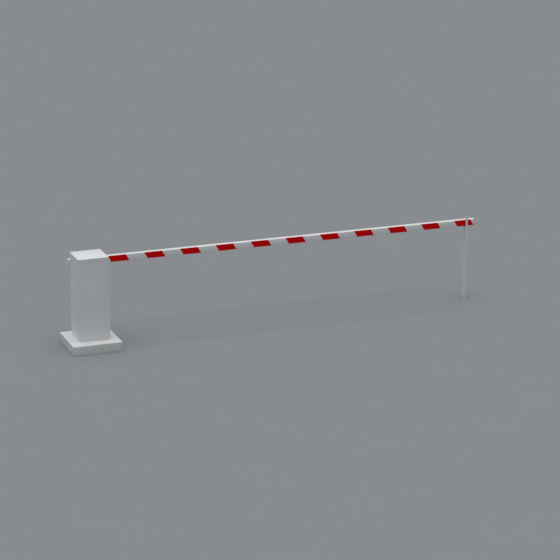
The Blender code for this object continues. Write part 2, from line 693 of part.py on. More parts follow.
def make_motor():
    """The flange motor that hangs from the gearbox, with cooling ribs and a terminal box."""
    top, flange, foot = SHELF_Z[1], 0.508, 0.330
    motor = cylinder("motor", (*MOTOR, foot), (*MOTOR, top), 0.050, BLUE_PAINT, sides=32)
    ribs = 16
    for i in range(ribs):
        turn = 2 * math.pi * (i + 0.5) / ribs
        along = Vector((math.cos(turn), math.sin(turn)))
        low, high = along * 0.045 + MOTOR, along * 0.0555 + MOTOR
        side = Vector((-along.y, along.x)) * 0.0012
        corners = [tuple(point) for point in (low - side, high - side, high + side, low + side)]
        join(motor, plate("rib", [corners], "XY", 0.372, 0.500))
    join(
        motor,
        cylinder("flange", (*MOTOR, flange), (*MOTOR, top), 0.0575, sides=32),
        cylinder("end_bell", (*MOTOR, foot + 0.004), (*MOTOR, 0.366), 0.0555, sides=32),
    )
    x = MOTOR.x
    low, high = (x, MOTOR.y - 0.030, 0.400), (x + 0.084, MOTOR.y + 0.030, 0.470)
    join(motor, box("terminal_box", low, high, None, 0.003))
    cut(motor, cylinder("tail_bore", (*MOTOR, 0.30), (*MOTOR, 0.350), 0.0054))


def make_handwheel():
    """The wheel on the motor's tail that lowers or lifts the boom by hand."""
    middle = (*MOTOR, 0.3105)
    section = circle(0.040, 0.0, 0.0055, 8)[::-1]
    rim = turned("handwheel", section, middle, (0, 0, 1), DARK_PLASTIC, 28, ring=True)
    join(
        rim,
        cylinder("hub", (*MOTOR, 0.304), (*MOTOR, 0.320), 0.011),
        cylinder("tail", (*MOTOR, 0.315), (*MOTOR, 0.349), 0.0050),
    )
    for i in range(3):
        turn = 2 * math.pi * i / 3 + 0.3
        reach = Vector((math.cos(turn), math.sin(turn))) * 0.040 + MOTOR
        join(rim, cylinder("spoke", middle, (*reach, 0.3105), 0.0038, sides=8))
    return rim


def make_control_box():
    low, high = Vector((-0.125, 0.078, 0.155)), Vector((-0.015, PLATE_Y - GAP, 0.390))
    wall = Vector((0.0025, 0.0025, 0.0025))
    case = box("control_box", low, high, GREY_PLASTIC, 0.003, "all", 2)
    inside_low, inside_high = low + wall, high - wall
    inside_low.y = low.y - 0.01
    cut(case, box("inside", inside_low, inside_high))
    cover_high = Vector((high.x, low.y - GAP, high.z))
    cover = box("control_cover", (low.x, low.y - 0.016, low.z), cover_high, GREY_PLASTIC, 0.003, "all", 2)
    cover_hollow = (inside_low.x, low.y - 0.0135, inside_low.z), (inside_high.x, low.y + 0.01, inside_high.z)
    cut(cover, box("inside", *cover_hollow))
    board_low, board_high = (low.x + 0.008, 0.118, low.z + 0.010), (high.x - 0.008, 0.1196, high.z - 0.010)
    box("control_board", board_low, board_high, BOARD)
    x, y = (low.x + high.x) / 2 + 0.020, 0.110
    cut(case, cylinder("gland_hole", (x, y, low.z - 0.01), (x, y, low.z + 0.01), 0.0083))
    seat = low.z - GAP
    gland = cylinder(
        "cable_gland", (x, y, seat - 0.006), (x, y, seat), across_flats(0.022), DARK_PLASTIC, sides=6
    )
    join(
        gland,
        cylinder("thread", (x, y, low.z - 0.004), (x, y, low.z + 0.010), 0.0080),
        cylinder("dome", (x, y, low.z - 0.020), (x, y, low.z - 0.005), 0.0095),
    )
    cut(gland, cylinder("way", (x, y, low.z - 0.03), (x, y, low.z + 0.02), 0.0045, sides=16))


# Boom ---------------------------------------------------------------------------------------
def make_hub():
    """The flange on the shaft's end, its boss through the cabinet's back wall."""
    x, z = CABINET_X, SHAFT_Z
    outline = rounded_rectangle(
        (-CLAMP_HALF_WIDTH, -CLAMP_HALF_HEIGHT), (CLAMP_HALF_WIDTH, CLAMP_HALF_HEIGHT), 0.008
    )
    hub = plate("hub_flange", [outline], "XZ", BACK + 0.0042, BOOM_FACE_Y - GAP, ZINC, (x, z))
    join(hub, cylinder("boss", (x, 0.1712, z), (x, BACK + 0.006, z), 0.025))
    cut(hub, cylinder("bore", (x, 0.16, z), (x, 0.2, z), 0.0178))
    for sx, sz in CLAMP_CORNERS:
        cut(hub, cylinder("hole", (sx, 0.16, sz), (sx, 0.2, sz), 0.0053, sides=16))
    return hub



def make_clamp():
    """The folded holder that grips the boom against the hub flange, with its four bolts."""
    half, wall = BOOM_HEIGHT / 2 + 0.0004, 0.005
    back = BOOM_FACE_Y + BOOM_DEPTH + 0.0004
    y = BOOM_FACE_Y + GAP
    section = []
    for sign in (1, -1):
        side = [
            (y, CLAMP_HALF_HEIGHT),
            (y + 0.006, CLAMP_HALF_HEIGHT),
            (y + 0.006, half + wall),
            (back + wall, half + wall),
        ]
        section += [(u, sign * v) for u, v in (side if sign > 0 else side[::-1])]
    inner = [(y, half), (back, half)]
    section += [(u, -v) for u, v in inner] + [(u, v) for u, v in inner[::-1]]
    x = CABINET_X
    ends = x - CLAMP_HALF_WIDTH, x + CLAMP_HALF_WIDTH
    clamp = plate("boom_clamp", [section], "YZ", *ends, WHITE_PAINT, (0.0, SHAFT_Z))
    bolts = []
    for index, (sx, sz) in enumerate(CLAMP_CORNERS, 1):
        cut(clamp, cylinder("hole", (sx, 0.18, sz), (sx, 0.21, sz), 0.0053, sides=16))
        seat = (sx, y + 0.006 + GAP, sz)
        bolts.append(
            hex_bolt(f"clamp_bolt_{index}", seat, (0, -1, 0), 0.0130, 0.010, ZINC, washer=0.0095)
        )
    return clamp, *bolts


def make_boom():
    half = Vector((BOOM_DEPTH, BOOM_HEIGHT)) / 2
    wall = Vector((BOOM_WALL, BOOM_WALL))
    outer = rounded_rectangle(-half, half, BOOM_CORNER)
    inner = rounded_rectangle(wall - half, half - wall, BOOM_CORNER - BOOM_WALL)
    place = (BOOM_Y, SHAFT_Z)
    cap = 0.003
    ends = BOOM_TAIL + cap + GAP, BOOM_TIP - cap - GAP
    tube = plate("boom_tube", [outer, inner], "YZ", *ends, ALUMINIUM, place)
    plug_inset = wall + Vector((GAP, GAP))
    plug = rounded_rectangle(plug_inset - half, half - plug_inset, 0.0015)
    caps = []
    for name, end, inward in (("boom_tail_cap", BOOM_TAIL, 1), ("boom_tip_cap", BOOM_TIP, -1)):
        face = sorted((end, end + inward * cap))
        inside = sorted((end + inward * 0.002, end + inward * 0.022))
        piece = plate(name, [outer], "YZ", *face, WHITE_PAINT, place)
        join(piece, plate("plug", [plug], "YZ", *inside, None, place))
        caps.append(piece)
    return tube, *caps


# Rest post ----------------------------------------------------------------------------------
def make_rest_post():
    half = Vector((POST_WIDTH, POST_DEPTH)) / 2
    wall = Vector((POST_WALL, POST_WALL))
    centre = Vector((POST_X, BOOM_Y))
    low, high = centre - half, centre + half
    post = box("rest_post", (*low, 0.0), (*high, POST_TOP), WHITE_PAINT, 0.003, "upright", 3)
    cut(post, box("inside", (*(low + wall), -0.01), (*(high - wall), POST_TOP + 0.01)))
    screw_z = POST_TOP - 0.018
    face = BOOM_Y + POST_DEPTH / 2
    hole_ends = (POST_X, face - 0.01, screw_z), (POST_X, face + 0.01, screw_z)
    cut(post, cylinder("hole", *hole_ends, 0.0034, sides=16))

    bottom, saddle = POST_TOP + GAP, POST_TOP + 0.020
    slot = BOOM_DEPTH / 2 + 0.004
    edge = POST_DEPTH / 2
    section = [
        (-edge, bottom), (edge, bottom), (edge, FORK_BACK_TOP), (slot, FORK_BACK_TOP),
        (slot, saddle), (-slot, saddle), (-slot, FORK_FRONT_TOP), (-edge, FORK_FRONT_TOP),
    ]
    fork = plate("rest_fork", [section], "YZ", POST_X - half.x, POST_X + half.x, WHITE_PAINT, (BOOM_Y, 0.0))
    inset = half - wall - Vector((0.0004, 0.0004))
    spigot_low = (POST_X - inset.x, BOOM_Y - inset.y, POST_TOP - 0.035)
    join(fork, box("spigot", spigot_low, (POST_X + inset.x, BOOM_Y + inset.y, POST_TOP + 0.002)))
    thread_ends = (POST_X, face - 0.030, screw_z), (POST_X, face, screw_z)
    cut(fork, cylinder("thread", *thread_ends, 0.0033, sides=16))
    hex_bolt("fork_screw", (POST_X, face + GAP, screw_z), (0, -1, 0), 0.020, 0.006, ZINC)

    boom_foot = SHAFT_Z - BOOM_HEIGHT / 2
    box(
        "fork_pad",
        (POST_X - half.x, BOOM_Y - slot + GAP, saddle + GAP),
        (POST_X + half.x, BOOM_Y + slot - GAP, boom_foot - 0.0005),
        RUBBER,
    )


# Assembly -----------------------------------------------------------------------------------
make_plinth()
make_base_frame()
make_housing()
make_lid()
make_door_pins()
make_chassis()
make_bearing_bracket()
make_bearing("bearing_rear", PLATE_Y + 0.005, 1, 0.0178)
make_bearing("bearing_front", -0.060, -1, 0.0153)
make_spring()
make_stop("closed", STOP_ANGLE, -1)
make_stop("open", STOP_ANGLE + QUARTER_TURN, 1)
make_sensor("closed", FLAG_ANGLE)
make_sensor("open", FLAG_ANGLE + QUARTER_TURN)
make_drive_shelf()
make_gearbox()
make_motor()
make_control_box()
make_rest_post()

shaft_line = Vector((CABINET_X, 0.0, SHAFT_Z))
crank_line = Vector((CABINET_X, 0.0, CRANK_Z))
link_x, link_z = around(CABINET_X, SHAFT_Z, CRANK_THROW, REST_ANGLE)

pivot(
    "boom_axis",
    shaft_line,
    make_shaft(),
    make_spring_collar(),
    make_lever(),
    make_pin("lever_pin", SHAFT_Z),
    make_hub(),
    *make_clamp(),
    *make_boom(),
)
pivot("crank_axis", crank_line, make_output_shaft(), make_crank(), make_pin("crank_pin", CRANK_Z))
pivot("link_axis", Vector((link_x, 0.0, link_z)), *make_link())
pivot("handwheel_axis", Vector((*MOTOR, 0.0)), make_handwheel())
pivot("door_axis", Vector((*PIVOT, 0.0)), *make_door())
pivot("lock_axis", LOCK, *make_lock())
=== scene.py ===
# %% [markdown]
# # A boom barrier gate
# This is the kind of gate that stands at a car park: a steel cabinet on a plinth, one long striped
# boom, and a rest post that takes the boom's tip. An engineering model gives every part its place
# and its joints. These cells remake the parts that deserve a closer look, such as the stripes,
# bolts, spring, seal, motor and wheel, soften the edges of the rest, and give all of them a finish.

# %% Load the model
import json
import math

import bmesh
import bpy
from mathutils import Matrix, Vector


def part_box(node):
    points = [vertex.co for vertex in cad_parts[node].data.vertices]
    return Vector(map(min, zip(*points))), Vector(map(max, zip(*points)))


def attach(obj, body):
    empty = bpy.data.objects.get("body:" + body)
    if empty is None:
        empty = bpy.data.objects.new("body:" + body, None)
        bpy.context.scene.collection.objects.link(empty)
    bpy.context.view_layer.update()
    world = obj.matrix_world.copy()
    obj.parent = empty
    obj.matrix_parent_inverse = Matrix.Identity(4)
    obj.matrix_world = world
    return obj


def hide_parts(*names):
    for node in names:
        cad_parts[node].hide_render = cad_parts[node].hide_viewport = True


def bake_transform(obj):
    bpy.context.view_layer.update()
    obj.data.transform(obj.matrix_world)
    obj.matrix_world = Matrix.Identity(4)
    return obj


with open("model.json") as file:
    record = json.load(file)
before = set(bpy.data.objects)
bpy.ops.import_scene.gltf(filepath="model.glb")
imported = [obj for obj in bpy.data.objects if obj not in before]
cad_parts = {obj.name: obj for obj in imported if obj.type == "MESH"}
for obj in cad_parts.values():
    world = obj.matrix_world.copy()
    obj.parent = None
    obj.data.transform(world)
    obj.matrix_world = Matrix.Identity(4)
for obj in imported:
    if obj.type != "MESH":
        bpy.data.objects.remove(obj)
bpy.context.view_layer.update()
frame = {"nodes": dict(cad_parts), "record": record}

# %% [markdown]
# ## Camera, light and floor
# The gate is long and thin, so it is seen from far away through a long lens, from the front left
# and a little above. A long lens keeps the far end of the boom almost as large as the near one.

# %% Set up the camera
CAMERA_PLACE = (-6.151, -22.199, 7.656)
LOOKING_DOWN, LOOKING_RIGHT = math.radians(16.80), math.radians(20.44)
LENS, SENSOR = 147.6, 36.0

lens = bpy.data.cameras.new("studio_camera")
lens.lens, lens.sensor_width = LENS, SENSOR
lens.clip_end = 400.0
camera = bpy.data.objects.new("studio_camera", lens)
camera.location = CAMERA_PLACE
camera.rotation_euler = (math.pi / 2 - LOOKING_DOWN, 0.0, -LOOKING_RIGHT)
bpy.context.scene.collection.objects.link(camera)
bpy.context.scene.camera = camera
print("camera", CAMERA_PLACE, "lens", LENS, "mm")

# %% [markdown]
# One wide, soft sun stands for a big lamp overhead: tops come out almost white, and walls much
# darker. The sky has one even grey. The floor's own grey is chosen so that, lit by both, it looks
# the same as the sky, and so no horizon shows from any side. A weak cool light comes from the left.

# %% Light the scene
SKY = (0.250, 0.262, 0.272)
SUN_LIGHT, SUN_WIDTH = 2.20, math.radians(64)
COOL_LIGHT, COOL_WIDTH, COOL_COLOUR = 0.21, math.radians(40), (0.45, 0.62, 1.0)

world = bpy.data.worlds.new("even_grey")
world.use_nodes = True
world.node_tree.nodes["Background"].inputs["Color"].default_value = (*SKY, 1.0)
bpy.context.scene.world = world
bpy.context.scene.view_settings.view_transform = "Standard"


def add_sun(name, towards, strength, width, colour=(1.0, 1.0, 1.0)):
    light = bpy.data.lights.new(name, "SUN")
    light.energy, light.angle, light.color = strength, width, colour
    sun = bpy.data.objects.new(name, light)
    sun.rotation_euler = Vector(towards).to_track_quat("-Z", "Y").to_euler()
    bpy.context.scene.collection.objects.link(sun)
    return sun


add_sun("overhead", (0.02, 0.04, -1.0), SUN_LIGHT, SUN_WIDTH)
add_sun("cool_side", (1.0, 0.15, -0.25), COOL_LIGHT, COOL_WIDTH, COOL_COLOUR)
print("two suns, one grey sky")

# %% [markdown]
# ## How a finish is wired
# Every finish below is a small tree of shader nodes. They read Object coordinates, which are metres
# on the part itself, so a pattern stays put when a part moves. `add` makes one node and links or
# sets its inputs; the helpers after it name the few moves that each finish is made of.


# %% Helpers for shader nodes
def add(material, kind, inputs=None, **settings):
    made = material.node_tree.nodes.new("ShaderNode" + kind)
    for name, value in settings.items():
        setattr(made, name, value)
    for socket, value in (inputs or {}).items():
        if isinstance(value, bpy.types.NodeSocket):
            material.node_tree.links.new(value, made.inputs[socket])
        else:
            made.inputs[socket].default_value = value
    return made


def own_place(material, stretch=(1, 1, 1)):
    """Where a point lies on the part, in metres; stretch above 1 squeezes a pattern along that axis."""
    place = add(material, "TexCoord").outputs["Object"]
    return add(material, "Mapping", {"Vector": place, "Scale": stretch}).outputs["Vector"]


def mottle(material, size, stretch=(1, 1, 1), detail=3.0):
    """Soft noise from 0 to 1, its patches about size metres across."""
    place = own_place(material, stretch)
    return add(material, "TexNoise", {"Vector": place, "Scale": 1 / size, "Detail": detail}).outputs[0]


def spread(material, mask, low, high, start=0.35, end=0.65):
    """A mask turned into a value: low where the mask is at start or under it, high from end on."""
    values = {"Value": mask, "From Min": start, "From Max": end, "To Min": low, "To Max": high}
    return add(material, "MapRange", values).outputs[0]


def blend_colours(material, mask, first, second):
    """Goes from first to second as mask goes from 0 to 1. Each is a colour or a socket."""
    first, second = (
        value if isinstance(value, bpy.types.NodeSocket) else (*value, 1.0) for value in (first, second)
    )
    return add(material, "Mix", {0: mask, 6: first, 7: second}, data_type="RGBA").outputs[2]


def times(material, first, second):
    return add(material, "Math", {0: first, 1: second}, operation="MULTIPLY").outputs[0]


def height_above_ground(material):
    return add(material, "SeparateXYZ", {"Vector": own_place(material)}).outputs["Z"]


def worn_edges(material, width):
    """1 at an edge, where a rounded normal leaves the real one, broken up so that wear looks random."""
    rounded = add(material, "Bevel", {"Radius": width}, samples=4).outputs["Normal"]
    real = add(material, "NewGeometry").outputs["Normal"]
    alike = add(material, "VectorMath", {0: rounded, 1: real}, operation="DOT_PRODUCT").outputs["Value"]
    edge = spread(material, alike, 1.0, 0.0, 0.86, 0.98)
    return times(material, edge, spread(material, mottle(material, 0.02), 0.0, 1.0, 0.45, 0.65))


def shader_of(material):
    return material.node_tree.nodes["Principled BSDF"]


def colour_of(material):
    """The socket that now feeds the base colour, so that another layer can go over it."""
    return shader_of(material).inputs["Base Color"].links[0].from_socket


def feed(material, socket, value):
    material.node_tree.links.new(value, shader_of(material).inputs[socket])


# %% [markdown]
# All finishes share one build: a colour that drifts between two close tones, a fine grain that
# moves both the gloss and the bump, and edges that have rubbed to another colour. What differs
# is the scale and strength of each, so one function takes those as numbers.


# %% The common finish
def surface(
    name, colour, shade, worn, roughness, grain, depth,
    metallic=0.0, patch=0.12, stretch=(1, 1, 1), edge=0.0008,
):
    material = bpy.data.materials.new(name)
    material.use_nodes = True
    shader_of(material).inputs["Metallic"].default_value = metallic
    tone = blend_colours(material, spread(material, mottle(material, patch), 0.0, 1.0), colour, shade)
    feed(material, "Base Color", blend_colours(material, worn_edges(material, edge), tone, worn))
    fine = mottle(material, grain, stretch)
    feed(material, "Roughness", spread(material, fine, *roughness))
    bump = add(material, "Bump", {"Height": fine, "Distance": depth})
    feed(material, "Normal", bump.outputs["Normal"])
    return material


# %% [markdown]
# ## Painted steel
# The cabinet, lid, door, post and boom are powder coated. Powder melts into a skin with a faint
# orange peel, about 3 mm from dimple to dimple. Rain leaves pale streaks down the walls, and
# splashes from the ground grey the lowest part a little.


# %% White powder coat
def powder_coat(name, colour, peel=0.003):
    darker = tuple(0.965 * channel for channel in colour)
    return surface(name, colour, darker, (0.55, 0.56, 0.57), (0.42, 0.54), peel, 0.00012, patch=0.25)


SPLASH_HEIGHTS = 0.10, 0.22  # splashes are thickest up to the first and end at the second, in metres
cabinet_white = powder_coat("cabinet_white", (0.80, 0.80, 0.80))
streaks = mottle(cabinet_white, 0.03, (1, 1, 0.06))
streaked = spread(cabinet_white, streaks, 0.0, 0.10, 0.55, 0.75)
rained = blend_colours(cabinet_white, streaked, colour_of(cabinet_white), (0.62, 0.62, 0.61))
splash = spread(cabinet_white, height_above_ground(cabinet_white), 0.16, 0.0, *SPLASH_HEIGHTS)
splashed = times(cabinet_white, splash, spread(cabinet_white, mottle(cabinet_white, 0.012), 0.2, 1.0))
feed(cabinet_white, "Base Color", blend_colours(cabinet_white, splashed, rained, (0.50, 0.49, 0.47)))

post_white = powder_coat("post_white", (0.78, 0.78, 0.78))
boom_white = powder_coat("boom_white", (0.81, 0.81, 0.81), peel=0.002)
print("white finishes:", [m.name for m in (cabinet_white, post_white, boom_white)])

# %% [markdown]
# ## Reflective film
# The red bars are self-adhesive film. Its face is smooth and glossy, over a net of small sealed
# cells that shows as a fine brick-like pattern. A brick texture gives the net in one node.

# %% Red film
CELL, SEAM = 0.004, 0.00025
SEAM_RED = (0.55, 0.0006, 0.0009)
red_film = surface(
    "red_film", colour=(0.79, 0.0006, 0.0009), shade=(0.74, 0.0006, 0.0009), worn=(0.85, 0.10, 0.09),
    roughness=(0.36, 0.46), grain=CELL, depth=0.00003, patch=0.20, edge=0.0003,
)
shader_of(red_film).inputs["Specular IOR Level"].default_value = 0.08
upright = add(red_film, "Mapping", {"Vector": own_place(red_film), "Rotation": (math.pi / 2, 0.0, 0.0)})
net = add(
    red_film, "TexBrick",
    {
        "Vector": upright.outputs["Vector"], "Scale": 1.0, "Brick Width": CELL, "Row Height": CELL,
        "Mortar Size": SEAM, "Color1": (0, 0, 0, 1), "Color2": (0, 0, 0, 1), "Mortar": (1, 1, 1, 1),
    },
)
seams = times(red_film, net.outputs["Fac"], 0.5)
feed(red_film, "Base Color", blend_colours(red_film, seams, colour_of(red_film), SEAM_RED))
print("red film with", CELL * 1000, "mm cells")

# %% [markdown]
# ## Concrete
# The plinth is cast concrete under masonry paint. Paint fills the fine texture but not the pinholes
# that air bubbles left, so the bump has a broad uneven part from trowelling and small round pits.
# The sides are painted darker than the top as shade, in a mottled band that fades out just under the top
# edge.

# %% Painted concrete
PIT_SPACING, PIT_DEPTH, PIT_GREY = 0.018, 0.0008, (0.42, 0.41, 0.40)
SIDE_SHADE_GREY, SIDE_SHADE_HEIGHTS = (0.60, 0.60, 0.59), (0.088, 0.100)  # painted shade on the sides: full up to the first height, none from the second
concrete = surface(
    "painted_concrete", colour=(0.740, 0.742, 0.740), shade=(0.695, 0.697, 0.695), worn=(0.57, 0.56, 0.54),
    roughness=(0.70, 0.88), grain=0.006, depth=0.0004, patch=0.16, edge=0.003,
)
bubbles = add(concrete, "TexVoronoi", {"Vector": own_place(concrete), "Scale": 1 / PIT_SPACING})
pit_depth = spread(concrete, bubbles.outputs["Distance"], 0.0, 1.0, 0.05, 0.13)
feed(concrete, "Base Color", blend_colours(concrete, pit_depth, PIT_GREY, colour_of(concrete)))
# Painted shade: the sides darker than the top, broken up by a mottle.
on_sides = spread(concrete, height_above_ground(concrete), 1.0, 0.0, *SIDE_SHADE_HEIGHTS)
painted_side_shade = times(concrete, on_sides, spread(concrete, mottle(concrete, 0.03, (1, 1, 0.4)), 0.45, 1.0))
feed(concrete, "Base Color", blend_colours(concrete, painted_side_shade, colour_of(concrete), SIDE_SHADE_GREY))
trowelled = shader_of(concrete).inputs["Normal"].links[0].from_socket
pitted = add(concrete, "Bump", {"Height": pit_depth, "Distance": PIT_DEPTH, "Normal": trowelled})
feed(concrete, "Normal", pitted.outputs["Normal"])
print("concrete with pinholes")

# %% [markdown]
# ## Bare and plated metals
# Plated steel shows faint crystals where the zinc set, so a Voronoi cell pattern shifts its tone.
# Turned and drawn steel has fine lines along or around it: the same noise, squeezed one way.


# %% Metals
def metal(name, tone, roughness, stretch=(1, 1, 1), grain=0.002, depth=0.00003):
    darker = tuple(0.80 * channel for channel in tone)
    lighter = tuple(min(1.0, 1.15 * channel) for channel in tone)
    return surface(
        name, tone, darker, lighter, roughness, grain, depth,
        metallic=1.0, patch=0.03, stretch=stretch, edge=0.0005,
    )


zinc = metal("zinc_plate", (0.62, 0.63, 0.62), (0.30, 0.50))
CRYSTAL, CRYSTAL_GREY = 0.007, (0.50, 0.52, 0.53)
crystals = add(zinc, "TexVoronoi", {"Vector": own_place(zinc), "Scale": 1 / CRYSTAL}).outputs["Color"]
crystal_tone = add(zinc, "SeparateXYZ", {"Vector": crystals}).outputs["X"]
crystal_mask = times(zinc, crystal_tone, 0.35)
feed(zinc, "Base Color", blend_colours(zinc, crystal_mask, colour_of(zinc), CRYSTAL_GREY))

AROUND, ALONG, LINES = (1, 60, 1), (60, 60, 1), 0.02  # how the fine lines of turning and drawing run
turned_steel = metal("turned_steel", (0.60, 0.60, 0.59), (0.18, 0.34), AROUND, LINES)
drawn_steel = metal("drawn_steel", (0.62, 0.62, 0.61), (0.20, 0.36), ALONG, LINES)
spring_steel = metal("spring_steel", (0.075, 0.075, 0.080), (0.28, 0.46), grain=0.001)
nickel_brass = metal("nickel_brass", (0.70, 0.67, 0.58), (0.22, 0.36))
print("metals:", [m.name for m in (zinc, turned_steel, drawn_steel, spring_steel, nickel_brass)])

# %% [markdown]
# ## Paint on castings, rubber and plastic
# A sand casting keeps the sand's texture under its paint, so its grain is coarse and deep. Rubber
# is matt with a dusty bloom, and moulded plastic has a fine even spark-eroded grain.

# %% Castings, rubber and plastic
casting_grey = surface(
    "casting_grey", colour=(0.20, 0.22, 0.24), shade=(0.17, 0.19, 0.21), worn=(0.42, 0.42, 0.42),
    roughness=(0.42, 0.60), grain=0.003, depth=0.0004,
)
motor_blue = surface(
    "motor_blue", colour=(0.05, 0.12, 0.25), shade=(0.04, 0.10, 0.21), worn=(0.35, 0.36, 0.38),
    roughness=(0.35, 0.52), grain=0.003, depth=0.0003,
)
rubber = surface(
    "black_rubber", colour=(0.028, 0.028, 0.028), shade=(0.050, 0.049, 0.047), worn=(0.10, 0.10, 0.10),
    roughness=(0.70, 0.90), grain=0.0012, depth=0.0001, patch=0.02,
)


def moulded(name, colour, shade, worn, roughness, depth=0.00005):
    return surface(name, colour, shade, worn, roughness, grain=0.0008, depth=depth)


light_plastic = moulded(
    "light_plastic", (0.60, 0.61, 0.60), (0.56, 0.57, 0.56), (0.70, 0.71, 0.70), (0.42, 0.54),
)
dark_plastic = moulded(
    "dark_plastic", (0.040, 0.040, 0.045), (0.055, 0.055, 0.058), (0.12, 0.12, 0.12), (0.38, 0.52),
)
cap_plastic = moulded(
    "cap_plastic", (0.79, 0.79, 0.79), (0.75, 0.75, 0.75), (0.62, 0.62, 0.62), (0.40, 0.50), depth=0.00004,
)
print(len(bpy.data.materials), "materials so far")

# %% [markdown]
# A circuit board is green lacquer over copper tracks. The tracks show as a net of slightly paler
# lines, which a brick texture draws.

# %% Circuit board
TRACK_LENGTH, TRACK_STEP, TRACK, TRACK_GREEN = 0.018, 0.006, 0.0006, (0.06, 0.30, 0.13)
board_green = surface(
    "board_green", colour=(0.02, 0.16, 0.07), shade=(0.015, 0.12, 0.055), worn=(0.30, 0.28, 0.18),
    roughness=(0.30, 0.42), grain=0.001, depth=0.00002,
)
on_board = add(board_green, "Mapping", {"Vector": own_place(board_green), "Rotation": (math.pi / 2, 0, 0)})
tracks = add(
    board_green, "TexBrick",
    {
        "Vector": on_board.outputs["Vector"], "Scale": 1.0, "Brick Width": TRACK_LENGTH,
        "Row Height": TRACK_STEP, "Mortar Size": TRACK, "Color1": (0, 0, 0, 1), "Color2": (0, 0, 0, 1),
        "Mortar": (1, 1, 1, 1),
    },
).outputs["Fac"]
tracked = blend_colours(board_green, times(board_green, tracks, 0.7), colour_of(board_green), TRACK_GREEN)
feed(board_green, "Base Color", tracked)
print("board with tracks every", TRACK_STEP * 1000, "mm")

# %% [markdown]
# ## The floor
# A plain plane, so wide that its edge is past what the camera can see from any side. Its grey
# answers to the lamps above: about 0.27 of the light comes back, and that equals the sky.

# %% Floor
FLOOR_SIDE, FLOOR_GREY, FLOOR_DROP = 1600.0, (0.2587, 0.2706, 0.2802), 0.0005

ground = surface(
    "studio_floor", colour=FLOOR_GREY, shade=tuple(0.995 * tone for tone in FLOOR_GREY), worn=FLOOR_GREY,
    roughness=(0.9, 0.95), grain=0.004, depth=0.00002, patch=0.8,
)
shader_of(ground).inputs["Specular IOR Level"].default_value = 0.0
bm = bmesh.new()
bmesh.ops.create_grid(bm, x_segments=1, y_segments=1, size=FLOOR_SIDE / 2)
floor_mesh = bpy.data.meshes.new("floor")
bm.to_mesh(floor_mesh)
bm.free()
floor_mesh.materials.append(ground)
floor = bpy.data.objects.new("floor", floor_mesh)
floor.location.z = -FLOOR_DROP
bpy.context.scene.collection.objects.link(floor)
print("floor", FLOOR_SIDE, "m wide")

# %% [markdown]
# ## Making pieces
# `finish_piece` is the last step of every new piece: it gives the object its material, tells it
# which body it moves with, and which parts of the engineering model it stands for. Those hidden
# parts wear the same finish.


# %% Piece helpers
def new_object(name, mesh):
    made = bpy.data.objects.new(name, mesh)
    bpy.context.scene.collection.objects.link(made)
    return made


def dress(mesh, material):
    mesh.materials.clear()
    mesh.materials.append(material)


def finish_piece(piece, material, slot, body, *nodes):
    dress(piece.data, material)
    for node in nodes:
        dress(frame["nodes"][node].data, material)
    if body:
        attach(piece, body)
    if nodes:
        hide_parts(*nodes)
    return piece


def plain_mesh(source):
    """The evaluated shape of an object, its modifiers done, as a new plain object of the same name."""
    bpy.context.view_layer.update()
    shown = source.evaluated_get(bpy.context.evaluated_depsgraph_get())
    mesh = bpy.data.meshes.new_from_object(shown)
    name = source.name
    bpy.data.objects.remove(source, do_unlink=True)
    mesh.name = name
    return new_object(name, mesh)


def smooth(mesh, sharp=38):
    mesh.shade_smooth()
    mesh.set_sharp_from_angle(angle=math.radians(sharp))


# %% [markdown]
# ## Softer edges on the engineering parts
# An engineering part has perfectly sharp corners, and a round one is made of flats. A copy is
# welded, its flat triangles are joined into whole faces, and a small Bevel breaks every corner, as
# a file or a paint film would. Smooth shading between the bevels hides the flats.


# %% Copies with softened edges
def softened(node, material, slot, body, edge=0.0006, sharp=32):
    mesh = frame["nodes"][node].data.copy()
    bm = bmesh.new()
    bm.from_mesh(mesh)
    bmesh.ops.remove_doubles(bm, verts=bm.verts, dist=0.000002)
    bmesh.ops.dissolve_limit(bm, angle_limit=math.radians(0.5), verts=bm.verts, edges=bm.edges)
    bm.to_mesh(mesh)
    bm.free()
    piece = new_object(node + "_finished", mesh)
    smooth(mesh, sharp)
    bevel = piece.modifiers.new("soft_edge", "BEVEL")
    bevel.width, bevel.segments = edge, 2
    bevel.limit_method, bevel.angle_limit = "ANGLE", math.radians(sharp)
    bevel.harden_normals = True
    return finish_piece(plain_mesh(piece), material, slot, body, node)


# %% [markdown]
# ## Repeating a shape
# Stripes, bolts and ribs are one shape made many times. Geometry Nodes does the repeating: a tree
# with named inputs places copies, turns them into real mesh and gives them their material. The
# first tree lays copies of the object's own shape in a row.


# %% Tree helpers
def new_tree(name, sockets):
    tree = bpy.data.node_groups.new(name, "GeometryNodeTree")
    for label, kind in [("Geometry", "Geometry"), *sockets]:
        tree.interface.new_socket(label, in_out="INPUT", socket_type="NodeSocket" + kind)
    tree.interface.new_socket("Geometry", in_out="OUTPUT", socket_type="NodeSocketGeometry")
    return tree, tree.nodes.new("NodeGroupInput").outputs


def step(tree, kind, inputs=None, **settings):
    made = tree.nodes.new(kind)
    for name, value in settings.items():
        setattr(made, name, value)
    for socket, value in (inputs or {}).items():
        if isinstance(value, bpy.types.NodeSocket):
            tree.links.new(value, made.inputs[socket])
        else:
            made.inputs[socket].default_value = value
    return made.outputs


def close_tree(tree, instances, material):
    """Every tree ends this way: instances become real mesh, which gets its material."""
    real = step(tree, "GeometryNodeRealizeInstances", {0: instances})[0]
    coloured = step(tree, "GeometryNodeSetMaterial", {"Geometry": real, "Material": material})[0]
    tree.links.new(coloured, tree.nodes.new("NodeGroupOutput").inputs[0])
    return tree


def apply_tree(piece, tree, values):
    """Adds the tree as a modifier, sets its named inputs by identifier and keeps the mesh it makes."""
    modifier = piece.modifiers.new(tree.name, "NODES")
    modifier.node_group = tree
    for item in tree.interface.items_tree:
        if item.in_out == "INPUT" and item.name in values:
            modifier[item.identifier] = values[item.name]
    return plain_mesh(piece)


